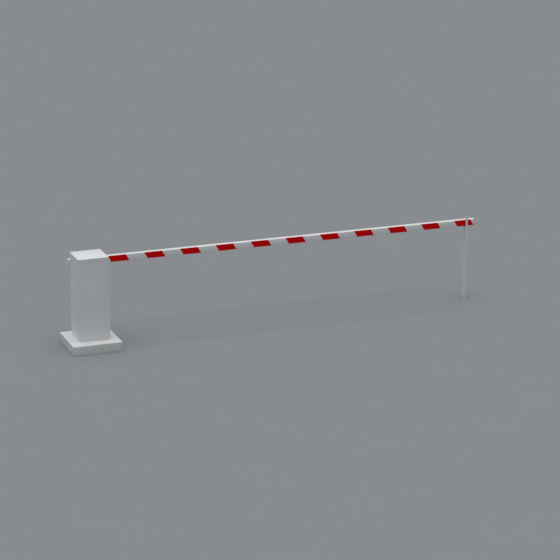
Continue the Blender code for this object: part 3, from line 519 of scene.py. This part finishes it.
# %% A row of copies
row_tree, given = new_tree(
    "row_of_copies", [("Count", "Int"), ("Step", "Vector"), ("Material", "Material")]
)
line = step(row_tree, "GeometryNodeMeshLine", {"Count": given["Count"], "Offset": given["Step"]})[0]
placed = step(
    row_tree, "GeometryNodeInstanceOnPoints", {"Points": line, "Instance": given["Geometry"]}
)[0]
close_tree(row_tree, placed, given["Material"])
print("row tree with", len(row_tree.nodes), "nodes")

# %% [markdown]
# ## The stripes
# Each red bar is a slanted piece of film on the boom's face that turns over its rounded edges. It
# starts as a strip of points: across the boom they follow the section, along the boom they lean.
# Solidify gives the film its thickness, and the row tree lays eleven of them 400 mm apart. They are
# on both sides of the boom, since traffic comes from both.

# %% Film stripes
STRIPES, PITCH, STRIPE_WIDTH = 11, 0.400, 0.200
FIRST_EDGE, LEAN = 0.256, 0.041  # where the first stripe starts, and how far each one leans
CORNER, FILM, WRAP = 0.003, 0.00015, math.radians(90)
ARC_STEPS, FACE_STEPS = 6, 8

boom_low, boom_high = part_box("boom_tube")
half_height = (boom_high.z - boom_low.z) / 2
boom_middle = (boom_low + boom_high) / 2


def film_section():
    """(out, up) points over a boom face: out from its corner's centre line, up from its middle."""
    flat = half_height - CORNER
    arc = [i * WRAP / ARC_STEPS for i in range(ARC_STEPS + 1)]
    lower = [(CORNER * math.cos(a), -flat - CORNER * math.sin(a)) for a in reversed(arc)]
    half = FACE_STEPS // 2
    middle = [(CORNER, flat * i / half) for i in range(1 - half, half)]
    upper = [(CORNER * math.cos(a), flat + CORNER * math.sin(a)) for a in arc]
    return lower + middle + upper


def film_stripes(name, side):
    """side is -1 for the front face and 1 for the back one."""
    face = boom_low.y if side < 0 else boom_high.y
    bm = bmesh.new()
    columns = []
    for out, up in film_section():
        lean = -LEAN * (up / (2 * half_height) - 0.5)
        y = face + side * (out - CORNER + FILM)
        along = [FIRST_EDGE + lean + STRIPE_WIDTH * share for share in (0.0, 0.5, 1.0)]
        columns.append([bm.verts.new((x, y, boom_middle.z + up)) for x in along])
    for lower, upper in zip(columns, columns[1:]):
        for i in range(2):
            bm.faces.new((lower[i], lower[i + 1], upper[i + 1], upper[i])[::-side])
    mesh = bpy.data.meshes.new(name)
    bm.to_mesh(mesh)
    bm.free()
    stripe = new_object(name, mesh)
    solid = stripe.modifiers.new("film_thickness", "SOLIDIFY")
    solid.thickness, solid.offset = FILM, -1.0
    stripe = plain_mesh(stripe)
    values = {"Count": STRIPES, "Step": (PITCH, 0.0, 0.0), "Material": red_film}
    stripe = apply_tree(stripe, row_tree, values)
    smooth(stripe.data)
    return finish_piece(stripe, red_film, None, "boom")


for name, side in (("stripes_front", -1), ("stripes_back", 1)):
    made = film_stripes(name, side)
    print(name, len(made.data.polygons), "faces")

# %% [markdown]
# ## Shapes turned on a lathe
# Round parts are drawn as half a section and spun about an axis. `turned` lays the rings of points
# itself, so that it can close both ends with a point on the axis. `joined` puts several closed
# shells into one piece, and `moulded_box` is a box whose edges are all rounded.


# %% Helpers for turned and moulded shapes
def as_object(name, bm):
    """A new object from bm, its faces turned outwards and its rounded parts shaded smooth."""
    bmesh.ops.remove_doubles(bm, verts=bm.verts, dist=0.000001)
    bmesh.ops.recalc_face_normals(bm, faces=bm.faces)
    mesh = bpy.data.meshes.new(name)
    bm.to_mesh(mesh)
    bm.free()
    smooth(mesh)
    return new_object(name, mesh)


def turned(name, profile, foot, axis, sides=48):
    """profile is (radius, height) points, from one end on the axis to the other end on it."""
    turn = Vector((0, 0, 1)).rotation_difference(Vector(axis)).to_matrix()
    bm = bmesh.new()
    rings = []
    for radius, height in profile:
        angles = [2 * math.pi * i / sides for i in range(sides if radius else 1)]
        places = [Vector((radius * math.cos(a), radius * math.sin(a), height)) for a in angles]
        rings.append([bm.verts.new(Vector(foot) + turn @ place) for place in places])
    for near, far in zip(rings, rings[1:]):
        for i in range(sides):
            along_near = [near[k % len(near)] for k in (i, i + 1)]
            back_along_far = [far[k % len(far)] for k in (i + 1, i)]
            corners = dict.fromkeys(along_near + back_along_far)  # a point on the axis counts once
            bm.faces.new(list(corners))
    return as_object(name, bm)


def joined(name, *parts):
    bm = bmesh.new()
    for part in parts:
        bm.from_mesh(part.data)
        bpy.data.objects.remove(part, do_unlink=True)
    return as_object(name, bm)


def moulded_box(name, low, high, edge):
    bm = bmesh.new()
    bmesh.ops.create_cube(bm, size=1.0)
    low, high = Vector(low), Vector(high)
    for vert in bm.verts:
        vert.co = (low + high) / 2 + vert.co * (high - low)
    made = as_object(name, bm)
    bevel = made.modifiers.new("rounded", "BEVEL")
    bevel.width, bevel.segments = edge, 3
    made = plain_mesh(made)
    smooth(made.data)
    return made


# %% [markdown]
# ## Bolts and screws
# A hex bolt is a prism whose top corners a cone has trimmed, a washer, and a threaded shank. The
# tree makes one of these from its named sizes and puts a copy on every point of the object that it
# sits on. The thread is a cylinder that a sine wave pushes in and out. The wave's phase grows with
# height and with the angle round the shank, which makes it a true screw line. A seeded random turn
# leaves no two heads lined up, as on anything tightened by hand.

# %% The bolt tree
CONE_TOP, CONE_FOOT = 0.88, 1.74  # of the head's radius: this cone trims the top of the corners
HEAD_SIDES, ROUND_SIDES, SHANK_SIDES = 6, 36, 18
STEPS_A_THREAD = 4

bolt_sizes = [
    "Head Radius", "Head Height", "Washer Radius", "Washer Height", "Shank Radius", "Shank Top",
    "Shank Length", "Thread Pitch", "Thread Depth",
]
bolt_tree, given = new_tree(
    "hex_bolts",
    [(size, "Float") for size in bolt_sizes]
    + [("Facing", "Vector"), ("Seed", "Int"), ("Material", "Material")],
)


def sums(first, second, operation="MULTIPLY", third=0.0):
    return step(bolt_tree, "ShaderNodeMath", {0: first, 1: second, 2: third}, operation=operation)[0]


def raised(part, height):
    move = step(bolt_tree, "ShaderNodeCombineXYZ", {"Z": height})[0]
    return step(bolt_tree, "GeometryNodeTransform", {"Geometry": part, "Translation": move})[0]


def gathered(kind, parts, socket, **settings):
    """One node whose many-way socket takes all the parts."""
    step(bolt_tree, kind, **settings)
    node = bolt_tree.nodes[-1]
    for part in parts:
        bolt_tree.links.new(part, node.inputs[socket])
    return node.outputs[0]


def cylinder_of(sides, radius, depth, segments=1):
    sizes = {"Vertices": sides, "Side Segments": segments, "Radius": radius, "Depth": depth}
    return step(bolt_tree, "GeometryNodeMeshCylinder", sizes)[0]


seat = given["Washer Height"]
prism = cylinder_of(HEAD_SIDES, given["Head Radius"], given["Head Height"])
prism = raised(prism, sums(given["Head Height"], 0.5, "MULTIPLY_ADD", seat))
cone = step(
    bolt_tree, "GeometryNodeMeshCone",
    {
        "Vertices": ROUND_SIDES, "Radius Top": sums(given["Head Radius"], CONE_TOP),
        "Radius Bottom": sums(given["Head Radius"], CONE_FOOT), "Depth": given["Head Height"],
    },
)[0]
head = gathered(
    "GeometryNodeMeshBoolean", (prism, raised(cone, seat)), 1, operation="INTERSECT", solver="EXACT"
)
washer = raised(cylinder_of(ROUND_SIDES, given["Washer Radius"], seat), sums(seat, 0.5))

rings = sums(given["Shank Length"], sums(given["Thread Pitch"], 1 / STEPS_A_THREAD), "DIVIDE")
shank = cylinder_of(SHANK_SIDES, given["Shank Radius"], given["Shank Length"], rings)
place = step(bolt_tree, "ShaderNodeSeparateXYZ", {0: step(bolt_tree, "GeometryNodeInputPosition")[0]})
height_in_turns = sums(place["Z"], given["Thread Pitch"], "DIVIDE")
phase = sums(height_in_turns, 2 * math.pi, "MULTIPLY_ADD", sums(place["Y"], place["X"], "ARCTAN2"))
inward = sums(sums(sums(phase, 0.0, "SINE"), 0.5, "MULTIPLY_ADD", -0.5), given["Thread Depth"])
across = step(bolt_tree, "ShaderNodeCombineXYZ", {"X": place["X"], "Y": place["Y"]})[0]
across = step(bolt_tree, "ShaderNodeVectorMath", {0: across}, operation="NORMALIZE")[0]
push = step(bolt_tree, "ShaderNodeVectorMath", {0: across, "Scale": inward}, operation="SCALE")[0]
shank = step(bolt_tree, "GeometryNodeSetPosition", {"Geometry": shank, "Offset": push})[0]
shank = raised(shank, sums(given["Shank Length"], -0.5, "MULTIPLY_ADD", given["Shank Top"]))

whole = gathered("GeometryNodeJoinGeometry", (head, washer, shank), 0)
facing = step(bolt_tree, "FunctionNodeEulerToRotation", {0: given["Facing"]})[0]
placed = step(
    bolt_tree, "GeometryNodeInstanceOnPoints",
    {"Points": given["Geometry"], "Instance": whole, "Rotation": facing},
)[0]
any_turn = step(
    bolt_tree, "FunctionNodeRandomValue",
    {0: (0.0, 0.0, 0.0), 1: (0.0, 0.0, 2 * math.pi), "Seed": given["Seed"]}, data_type="FLOAT_VECTOR",
)[0]
spun = step(bolt_tree, "GeometryNodeRotateInstances", {"Instances": placed, "Rotation": any_turn})[0]
close_tree(bolt_tree, spun, given["Material"])
print("bolt tree with", len(bolt_tree.nodes), "nodes")

# %% [markdown]
# Standard bolts keep the same proportions at every size, so all their sizes follow from the thread's
# diameter. Only the anchor studs differ: they stand up out of the plinth through a big nut.


# %% Bolts where the model has them
M4, M5, M6, M8, M10, M16 = 0.004, 0.005, 0.006, 0.008, 0.010, 0.016  # thread diameters
UP, DOWN = (0.0, 0.0, 0.0), (math.pi, 0.0, 0.0)
TO_FRONT, TO_BACK, TO_RIGHT = (math.pi / 2, 0.0, 0.0), (-math.pi / 2, 0.0, 0.0), (0.0, math.pi / 2, 0.0)
# In diameters: width over flats, height of head and washer, height and radius of the washer alone,
# the shank's end inside the head, and the thread.
FLATS, HEAD, WASHER, WASHER_RADIUS, SHANK_END = 1.6, 0.65, 0.16, 0.78, 0.3
THREAD_PITCH, THREAD_DEPTH = 0.15, 0.08


def bolt_shape(diameter, length, washer=0.0):
    """Every size of a bolt; length is below the washer, washer a radius other than the usual one."""
    shank_end = SHANK_END * diameter
    return {
        "Head Radius": FLATS * diameter / math.sqrt(3), "Head Height": (HEAD - WASHER) * diameter,
        "Washer Radius": washer or WASHER_RADIUS * diameter, "Washer Height": WASHER * diameter,
        "Shank Radius": diameter / 2, "Shank Top": shank_end, "Shank Length": length + shank_end,
        "Thread Pitch": THREAD_PITCH * diameter, "Thread Depth": THREAD_DEPTH * diameter,
    }


def bolts(name, seats, facing, shape, body, *nodes):
    mesh = bpy.data.meshes.new(name)
    mesh.from_pydata([tuple(seat) for seat in seats], [], [])
    values = {**shape, "Facing": facing, "Seed": len(name), "Material": zinc}
    piece = apply_tree(new_object(name, mesh), bolt_tree, values)
    smooth(piece.data, 45)
    print(name, len(seats), "x", len(piece.data.polygons) // len(seats), "faces")
    return finish_piece(piece, zinc, "zinc_plate", body, *nodes)


def seat_on(node, side, drop):
    """A bolt's seat: the middle of its node's box, drop inside the box's face on one side."""
    low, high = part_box(node)
    seat = (low + high) / 2
    axis = "xyz".index(side[1])
    seat[axis] = high[axis] - drop if side[0] == "+" else low[axis] + drop
    return seat


clamp_bolts = [f"clamp_bolt_{i}" for i in range(1, 5)]
bolts(
    "clamp_bolts", [seat_on(node, "+y", HEAD * M10) for node in clamp_bolts], TO_BACK,
    bolt_shape(M10, length=0.0130, washer=0.0095), "boom", *clamp_bolts,
)
lid_screws = ["lid_screw_1", "lid_screw_2"]
bolts(
    "lid_screws", [seat_on(node, "-z", HEAD * M6) for node in lid_screws], DOWN,
    bolt_shape(M6, length=0.0125, washer=0.007), "cabinet", *lid_screws,
)
bolts(
    "fork_fixing", [seat_on("fork_screw", "+y", HEAD * M6)], TO_BACK,
    bolt_shape(M6, length=0.020), "cabinet", "fork_screw",
)

NUT_FLATS, SEAT_GAP = 0.024, 0.0003
anchors = [f"anchor_bolt_{i}" for i in range(1, 5)]
anchor_low, anchor_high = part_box(anchors[0])
above_seat = anchor_high.z - (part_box("base_frame")[1].z + SEAT_GAP)
anchor_shape = {
    "Head Radius": NUT_FLATS / math.sqrt(3), "Head Height": 0.013,
    "Washer Radius": 0.015, "Washer Height": 0.003,
    "Shank Radius": M16 / 2, "Shank Top": above_seat, "Shank Length": anchor_high.z - anchor_low.z,
    "Thread Pitch": 0.002, "Thread Depth": 0.0012,
}
bolts(
    "anchor_studs", [seat_on(node, "+z", above_seat) for node in anchors], UP,
    anchor_shape, "cabinet", *anchors,
)

# %% [markdown]
# The engineering model has no bolts between the drive's own parts, because they carry no motion.
# They are what makes such a drive look real, so the same tree adds them to the gearbox, bearings,
# control box and motor.

# %% Bolts on the drive
COVER_FACE_Y, BOLT_RING, COVER_BOLTS = -0.072, 0.042, 6
FOOT_THICK, FOOT_INSETS, FOOT_BOLTS_Y = 0.012, (0.006, 0.007), (-0.071, 0.046)
EAR, FRONT_FLANGE, REAR_FLANGE, COVER_INSET = 0.038, 0.010, 0.0097, 0.010
SHORT = 0.006  # how far these bolts reach in


def middle_of(node):
    low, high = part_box(node)
    return (low + high) / 2


crank_axis, main_axis = middle_of("output_shaft"), middle_of("main_shaft")
case_low, case_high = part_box("gearbox")
around = [math.radians(30) + 2 * math.pi * i / COVER_BOLTS for i in range(COVER_BOLTS)]
cover_bolts = [
    (crank_axis.x + BOLT_RING * math.cos(a), COVER_FACE_Y, crank_axis.z + BOLT_RING * math.sin(a))
    for a in around
]
bolts("gearbox_cover_bolts", cover_bolts, TO_FRONT, bolt_shape(M5, SHORT), "cabinet")
foot_columns = case_low.x + FOOT_INSETS[0], case_high.x - FOOT_INSETS[1]
foot_bolts = [(x, y, case_low.z + FOOT_THICK) for x in foot_columns for y in FOOT_BOLTS_Y]
bolts("gearbox_foot_bolts", foot_bolts, UP, bolt_shape(M6, SHORT), "cabinet")

front_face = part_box("bearing_bracket")[0].y - FRONT_FLANGE
rear_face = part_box("bearing_rear")[0].y + REAR_FLANGE
for name, y, facing in (("front", front_face, TO_FRONT), ("rear", rear_face, TO_BACK)):
    ears = [(main_axis.x + side * EAR, y, main_axis.z) for side in (-1, 1)]
    bolts(f"bearing_bolts_{name}", ears, facing, bolt_shape(M8, SHORT, 0.009), "cabinet")

cover_low, cover_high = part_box("control_cover")
cover_columns = cover_low.x + COVER_INSET, cover_high.x - COVER_INSET
cover_rows = cover_low.z + COVER_INSET, cover_high.z - COVER_INSET
cover_corners = [(x, cover_low.y, z) for x in cover_columns for z in cover_rows]
bolts("control_cover_screws", cover_corners, TO_FRONT, bolt_shape(M4, SHORT), "cabinet")

# %% [markdown]
# ## Springs, rims and spokes
# A spring, the rim of a wheel and its spokes are a round section drawn along a path. One tree turns
# the edges of an object into a curve and gives the curve a round body with closed ends.

# %% A section along a path
sweep_tree, given = new_tree(
    "section_along_path", [("Radius", "Float"), ("Sides", "Int"), ("Material", "Material")]
)
path = step(sweep_tree, "GeometryNodeMeshToCurve", {"Mesh": given["Geometry"]})[0]
ring = step(
    sweep_tree, "GeometryNodeCurvePrimitiveCircle",
    {"Resolution": given["Sides"], "Radius": given["Radius"]},
)[0]
swept = step(
    sweep_tree, "GeometryNodeCurveToMesh", {"Curve": path, "Profile Curve": ring, "Fill Caps": True}
)[0]
close_tree(sweep_tree, swept, given["Material"])


def along_path(name, points, radius, material, closed=False, sides=16):
    count = len(points)
    edges = [(i, (i + 1) % count) for i in range(count if closed else count - 1)]
    mesh = bpy.data.meshes.new(name)
    mesh.from_pydata([tuple(point) for point in points], edges, [])
    values = {"Radius": radius, "Sides": sides, "Material": material}
    return joined(name, apply_tree(new_object(name + "_path", mesh), sweep_tree, values))


print("sweep tree with", len(sweep_tree.nodes), "nodes")

# %% [markdown]
# The torsion spring balances the boom. Its wire is wound ten times round the shaft, and both ends
# bend into legs: the rear one sits in the chassis, the front one in a collar that turns with the
# shaft.

# %% Torsion spring
MEAN_RADIUS, WIRE, TURNS, BEND = 0.045, 0.012, 10, 0.014
REAR_COIL_Y, FRONT_COIL_Y = 0.112, -0.014
POINTS_A_TURN, POINTS_A_BEND = 28, 7
spring_low, spring_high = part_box("torsion_spring")


def on_coil(turn, y):
    """A point on the spring's mean cylinder; turn 0 is straight above the shaft."""
    angle = math.pi / 2 + turn
    across, up = MEAN_RADIUS * math.cos(angle), MEAN_RADIUS * math.sin(angle)
    return Vector((main_axis.x + across, y, main_axis.z + up))


def bent(leg_turn, into_turn, leg_y, corner_y):
    """The bend from a leg to the coil: a parabola that leaves the leg and joins the coil smoothly."""
    shares = [i / POINTS_A_BEND for i in range(POINTS_A_BEND)]
    return [
        on_coil(leg_turn + (into_turn - leg_turn) * t * t, leg_y + (corner_y - leg_y) * (2 * t - t * t))
        for t in shares
    ]


bend_turn, all_turns = math.asin(BEND / MEAN_RADIUS), 2 * math.pi * TURNS
wound, advance, coil_steps = all_turns - 2 * bend_turn, FRONT_COIL_Y - REAR_COIL_Y, TURNS * POINTS_A_TURN
coil = [
    on_coil(bend_turn + wound * i / coil_steps, REAR_COIL_Y + advance * i / coil_steps)
    for i in range(coil_steps + 1)
]
rear_leg = [on_coil(0.0, spring_high.y)] + bent(0.0, bend_turn, REAR_COIL_Y + BEND, REAR_COIL_Y)
front_leg = [on_coil(all_turns, spring_low.y)]
front_leg += bent(all_turns, all_turns - bend_turn, FRONT_COIL_Y - BEND, FRONT_COIL_Y)
spring = along_path("balance_spring", rear_leg + coil + front_leg[::-1], WIRE / 2, spring_steel)
finish_piece(spring, spring_steel, "spring_steel", None, "torsion_spring")
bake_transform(spring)
print("balance_spring", len(spring.data.polygons), "faces")

# %% [markdown]
# ## The door seal
# A strip of cellular rubber runs round the back of the door: a flat foot glued to the sheet, and a
# hollow-looking bulb that the door frame presses. A rounded rectangle keeps its shape when it is
# moved in or out, so the seal is the same section laid on a set of nested rounded rectangles.

# %% Door seal
seal_low, seal_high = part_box("door_gasket")
SEAL_WIDTH, SEAL_CORNER, LEAST_CORNER, FOOT_DEPTH, FOOT_EDGE = 0.010, 0.008, 0.0008, 0.004, 0.0006
CORNER_STEPS = 8
foot_y, bulb_radius = seal_low.y, SEAL_WIDTH / 2 - FOOT_EDGE
bulb_depth = (seal_high.y - seal_low.y - FOOT_DEPTH) / 2


def nested_rectangle(inset, y):
    """Points of the seal's outline, inset metres in from its outer edge."""
    radius = max(SEAL_CORNER - inset, LEAST_CORNER)
    low_x, high_x = seal_low.x + inset + radius, seal_high.x - inset - radius
    low_z, high_z = seal_low.z + inset + radius, seal_high.z - inset - radius
    points = []
    centres = (high_x, high_z), (low_x, high_z), (low_x, low_z), (high_x, low_z)
    for quarter, (x, z) in enumerate(centres):
        for i in range(CORNER_STEPS + 1):
            angle = math.pi / 2 * (quarter + i / CORNER_STEPS)
            points.append((x + radius * math.cos(angle), y, z + radius * math.sin(angle)))
    return points


half_round = [math.radians(angle) for angle in range(-55, 236, 15)]
bulb_y = foot_y + FOOT_DEPTH
section = [
    (SEAL_WIDTH / 2 + bulb_radius * math.cos(a), bulb_y + bulb_depth * (1 + math.sin(a)))
    for a in half_round
]
section += [(0.0, bulb_y), (0.0, foot_y), (SEAL_WIDTH, foot_y), (SEAL_WIDTH, bulb_y)]
bm = bmesh.new()
loops = [[bm.verts.new(point) for point in nested_rectangle(inset, y)] for inset, y in section]
for i, loop in enumerate(loops):
    following = loops[(i + 1) % len(loops)]
    for k in range(len(loop)):
        after = (k + 1) % len(loop)
        bm.faces.new((loop[k], loop[after], following[after], following[k]))
seal = finish_piece(as_object("door_seal", bm), rubber, "black_rubber", "door", "door_gasket")
print("door_seal", len(seal.data.polygons), "faces")

# %% [markdown]
# ## The motor and its handwheel
# A small flange motor is a cast barrel with cooling ribs along it, a fan cover at the foot and a box
# for its wires at the side. The barrel is turned, and a tree stands the ribs round it.

# %% The rib tree
rib_sizes = [("Count", "Int"), ("Ring Radius", "Float"), ("Rib Size", "Vector"), ("Middle", "Vector")]
rib_tree, given = new_tree("ribs_round_a_barrel", [*rib_sizes, ("Material", "Material")])
spots = step(
    rib_tree, "GeometryNodeMeshCircle", {"Vertices": given["Count"], "Radius": given["Ring Radius"]}
)[0]
rib = step(rib_tree, "GeometryNodeMeshCube", {"Size": given["Rib Size"]})[0]
own_position = step(rib_tree, "GeometryNodeInputPosition")[0]
outwards = step(rib_tree, "FunctionNodeAlignRotationToVector", {"Vector": own_position}, axis="X")[0]
stood = step(
    rib_tree, "GeometryNodeInstanceOnPoints", {"Points": spots, "Instance": rib, "Rotation": outwards}
)[0]
moved = step(rib_tree, "GeometryNodeTransform", {"Geometry": stood, "Translation": given["Middle"]})[0]
step(rib_tree, "GeometryNodeJoinGeometry")
both = rib_tree.nodes[-1]
for part in (given["Geometry"], moved):
    rib_tree.links.new(part, both.inputs[0])
close_tree(rib_tree, both.outputs[0], given["Material"])
print("rib tree with", len(rib_tree.nodes), "nodes")

# %% Motor
motor_low, motor_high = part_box("motor")
wheel_low, wheel_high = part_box("handwheel")
tail = middle_of("handwheel")
BARREL, COVER, FLANGE, TAIL_BORE, MOTOR_SIDES = 0.050, 0.0555, 0.0575, 0.0054, 64
RIBS, RIB_DEPTH, RIB_THICK, RIB_LOW, RIB_HIGH = 24, 0.0085, 0.0016, 0.370, 0.503
foot, top = motor_low.z, motor_high.z
barrel_profile = [
    # the bore that takes the wheel's tail
    (0.0, foot + 0.020), (TAIL_BORE, foot + 0.020), (TAIL_BORE, foot),
    # the fan cover, from its foot round to its upper edge
    (0.030, foot), (0.032, foot + 0.0015), (0.044, foot + 0.0020), (0.0515, foot + 0.0040),
    (0.0545, foot + 0.0075), (COVER, foot + 0.012), (COVER, 0.3650), (0.0548, 0.3660),
    # the barrel, and the flange that meets the gearbox
    (BARREL, 0.3665), (BARREL, 0.5040), (0.0520, 0.5070), (0.0565, 0.5080), (FLANGE, 0.5090),
    (FLANGE, top - 0.0008), (0.0567, top), (0.0, top),
]
barrel = turned("barrel", barrel_profile, (tail.x, tail.y, 0.0), (0, 0, 1), MOTOR_SIDES)
rib_values = {
    "Count": RIBS, "Ring Radius": COVER - RIB_DEPTH / 2,
    "Rib Size": (RIB_DEPTH, RIB_THICK, RIB_HIGH - RIB_LOW),
    "Middle": (tail.x, tail.y, (RIB_LOW + RIB_HIGH) / 2), "Material": motor_blue,
}
barrel = apply_tree(barrel, rib_tree, rib_values)

BOX_HALF, BOX_START, BOX_LOW, BOX_HIGH = 0.030, 0.030, 0.400, 0.470
COVER_THICK, COVER_LIP, SCREW_INSET = 0.012, 0.001, 0.007
box_end = motor_high.x
wire_box = moulded_box(
    "wire_box", (tail.x + BOX_START, tail.y - BOX_HALF + COVER_LIP, BOX_LOW + COVER_LIP),
    (box_end - COVER_THICK + COVER_LIP, tail.y + BOX_HALF - COVER_LIP, BOX_HIGH - COVER_LIP), edge=0.003,
)
box_cover = moulded_box(
    "box_cover", (box_end - COVER_THICK, tail.y - BOX_HALF, BOX_LOW),
    (box_end, tail.y + BOX_HALF, BOX_HIGH), edge=0.0025,
)
motor = joined("drive_motor", barrel, wire_box, box_cover)
finish_piece(motor, motor_blue, "motor_blue", "cabinet", "motor")
wire_box_corners = [
    (box_end, tail.y + side * (BOX_HALF - SCREW_INSET), z)
    for side in (-1, 1) for z in (BOX_LOW + SCREW_INSET, BOX_HIGH - SCREW_INSET)
]
bolts("motor_box_screws", wire_box_corners, TO_RIGHT, bolt_shape(M4, SHORT), "cabinet")
print("drive_motor", len(motor.data.polygons), "faces")

# %% [markdown]
# In a power cut the wheel under the motor is turned by hand. Its rim is a closed path, its spokes
# are short paths that swell out of the hub, and the hub is turned.

# %% Handwheel
RIM, RIM_SECTION, SPOKE, HUB = 0.040, 0.0055, 0.0038, 0.011
SPOKES, FIRST_SPOKE, RIM_POINTS, RIM_GAP = 3, 0.3, 64, 0.001
DISH = (0.004, 0.0025), (0.014, 0.0020), (0.026, 0.0005), (0.034, 0.0), (RIM, 0.0)  # a spoke's radius, rise


def round_the_tail(radius, angle, z):
    return tail.x + radius * math.cos(angle), tail.y + radius * math.sin(angle), z


rim_z = wheel_low.z + RIM_SECTION + RIM_GAP
rim_path = [round_the_tail(RIM, 2 * math.pi * i / RIM_POINTS, rim_z) for i in range(RIM_POINTS)]
wheel_parts = [along_path("rim", rim_path, RIM_SECTION, dark_plastic, closed=True)]
for i in range(SPOKES):
    angle = FIRST_SPOKE + 2 * math.pi * i / SPOKES
    spoke_path = [round_the_tail(radius, angle, rim_z + rise) for radius, rise in DISH]
    wheel_parts.append(along_path(f"spoke_{i}", spoke_path, SPOKE, dark_plastic))
hub_foot, hub_top, tail_end = wheel_low.z, wheel_low.z + 0.016, wheel_high.z
hub_profile = [
    (0.0, hub_foot + 0.0012), (0.0040, hub_foot + 0.0012), (0.0046, hub_foot), (HUB - 0.0015, hub_foot),
    (HUB, hub_foot + 0.0015), (HUB, hub_top - 0.0015), (HUB - 0.0015, hub_top), (0.0050, hub_top),
    (0.0050, tail_end - 0.0005), (0.0045, tail_end), (0.0, tail_end),
]
wheel_parts.append(turned("hub", hub_profile, (tail.x, tail.y, 0.0), (0, 0, 1)))
wheel = joined("hand_wheel", *wheel_parts)
finish_piece(wheel, dark_plastic, "black_plastic", "manual_wheel", "handwheel")
print("hand_wheel", len(wheel.data.polygons), "faces")

# %% [markdown]
# ## Rubber stops
# Two rubber buffers end the boom's travel. Each is a short round block with a domed face, moulded
# with a bulging side, because rubber that is squeezed in use is shaped to give way evenly.

# %% Stop buffers
BUFFER, BUFFER_LENGTH = 0.007, 0.011
for name in ("closed", "open"):
    middle, block = middle_of(f"stop_buffer_{name}"), middle_of(f"stop_block_{name}")
    to_lever = Vector((middle.x - block.x, 0.0, middle.z - block.z)).normalized()
    foot = middle - to_lever * BUFFER_LENGTH / 2
    profile = [
        (0.0, 0.0), (BUFFER - 0.0012, 0.0), (BUFFER - 0.0007, 0.0006), (BUFFER - 0.0003, 0.0025),
        (BUFFER, 0.0050), (BUFFER - 0.0004, 0.0078), (BUFFER - 0.0014, 0.0097), (BUFFER - 0.0032, 0.0107),
        (0.0, BUFFER_LENGTH),
    ]
    buffer = turned(f"rubber_stop_{name}", profile, foot, to_lever, ROUND_SIDES)
    finish_piece(buffer, rubber, "black_rubber", "cabinet", f"stop_buffer_{name}")
print("two rubber stops")

# %% [markdown]
# ## Castings, shafts and fittings with softened edges
# These parts have the right shape already, but their corners are sharp and their rounds are made of
# flats. `softened` gives each one a broken edge: wide on castings, concrete and mouldings, narrow on
# machined steel and folded sheet.

# %% Softened parts
BODY_OF = {node: body for body, nodes in frame["record"]["behaviour"]["bodies"].items() for node in nodes}
SOFT_EDGES = [  # finish, slot, width of the edge, parts
    (concrete, "plinth_concrete", 0.003, ["base_plinth"]),
    (cabinet_white, "white_paint", 0.0004, ["lid", "door_panel", "cabinet_shell"]),
    (boom_white, "boom_aluminium", 0.0004, ["boom_clamp", "boom_tube"]),
    (cap_plastic, "white_plastic", 0.0010, ["boom_tail_cap", "boom_tip_cap"]),
    (post_white, "white_paint", 0.0010, ["rest_fork", "rest_post"]),
    (rubber, "black_rubber", 0.0018, ["fork_pad"]),
    (casting_grey, "casting_grey", 0.0010, ["bearing_front", "bearing_rear", "gearbox"]),
    (casting_grey, "casting_grey", 0.0010, ["shaft_lever", "crank_arm"]),
    (casting_grey, "casting_grey", 0.0006, ["bearing_bracket"]),
    (zinc, "zinc_plate", 0.0004, ["spring_collar", "hub_flange", "stop_block_closed", "stop_block_open"]),
    (zinc, "zinc_plate", 0.0004, ["rod_end_top", "rod_end_bottom"]),
    (zinc, "zinc_plate", 0.0004, ["lock_cam", "door_keeper", "base_frame"]),
    (turned_steel, "bright_steel", 0.0004, ["main_shaft", "output_shaft", "lever_pin", "crank_pin"]),
    (drawn_steel, "bright_steel", 0.0004, ["link_rod", "door_pin_bottom", "door_pin_top"]),
    (nickel_brass, "nickel_brass", 0.0003, ["lock_barrel", "lock_plug", "sensor_closed", "sensor_open"]),
    (zinc, "zinc_plate", 0.0005, ["chassis_plate", "drive_shelf"]),
    (light_plastic, "grey_plastic", 0.0008, ["control_box", "control_cover"]),
    (dark_plastic, "black_plastic", 0.0005, ["cable_gland"]),
]
for material, slot, edge, names in SOFT_EDGES:
    for name in names:
        softened(name, material, slot, BODY_OF[name], edge)
    print(slot, names)

# %% [markdown]
# The control board is the one engineering part that shows as it is: a thin plate with sharp edges,
# as a real board has. It only needs its finish.

# %% Control board
dress(frame["nodes"]["control_board"].data, board_green)
print("every part has a finish:", all(node.data.materials[:] for node in frame["nodes"].values()))
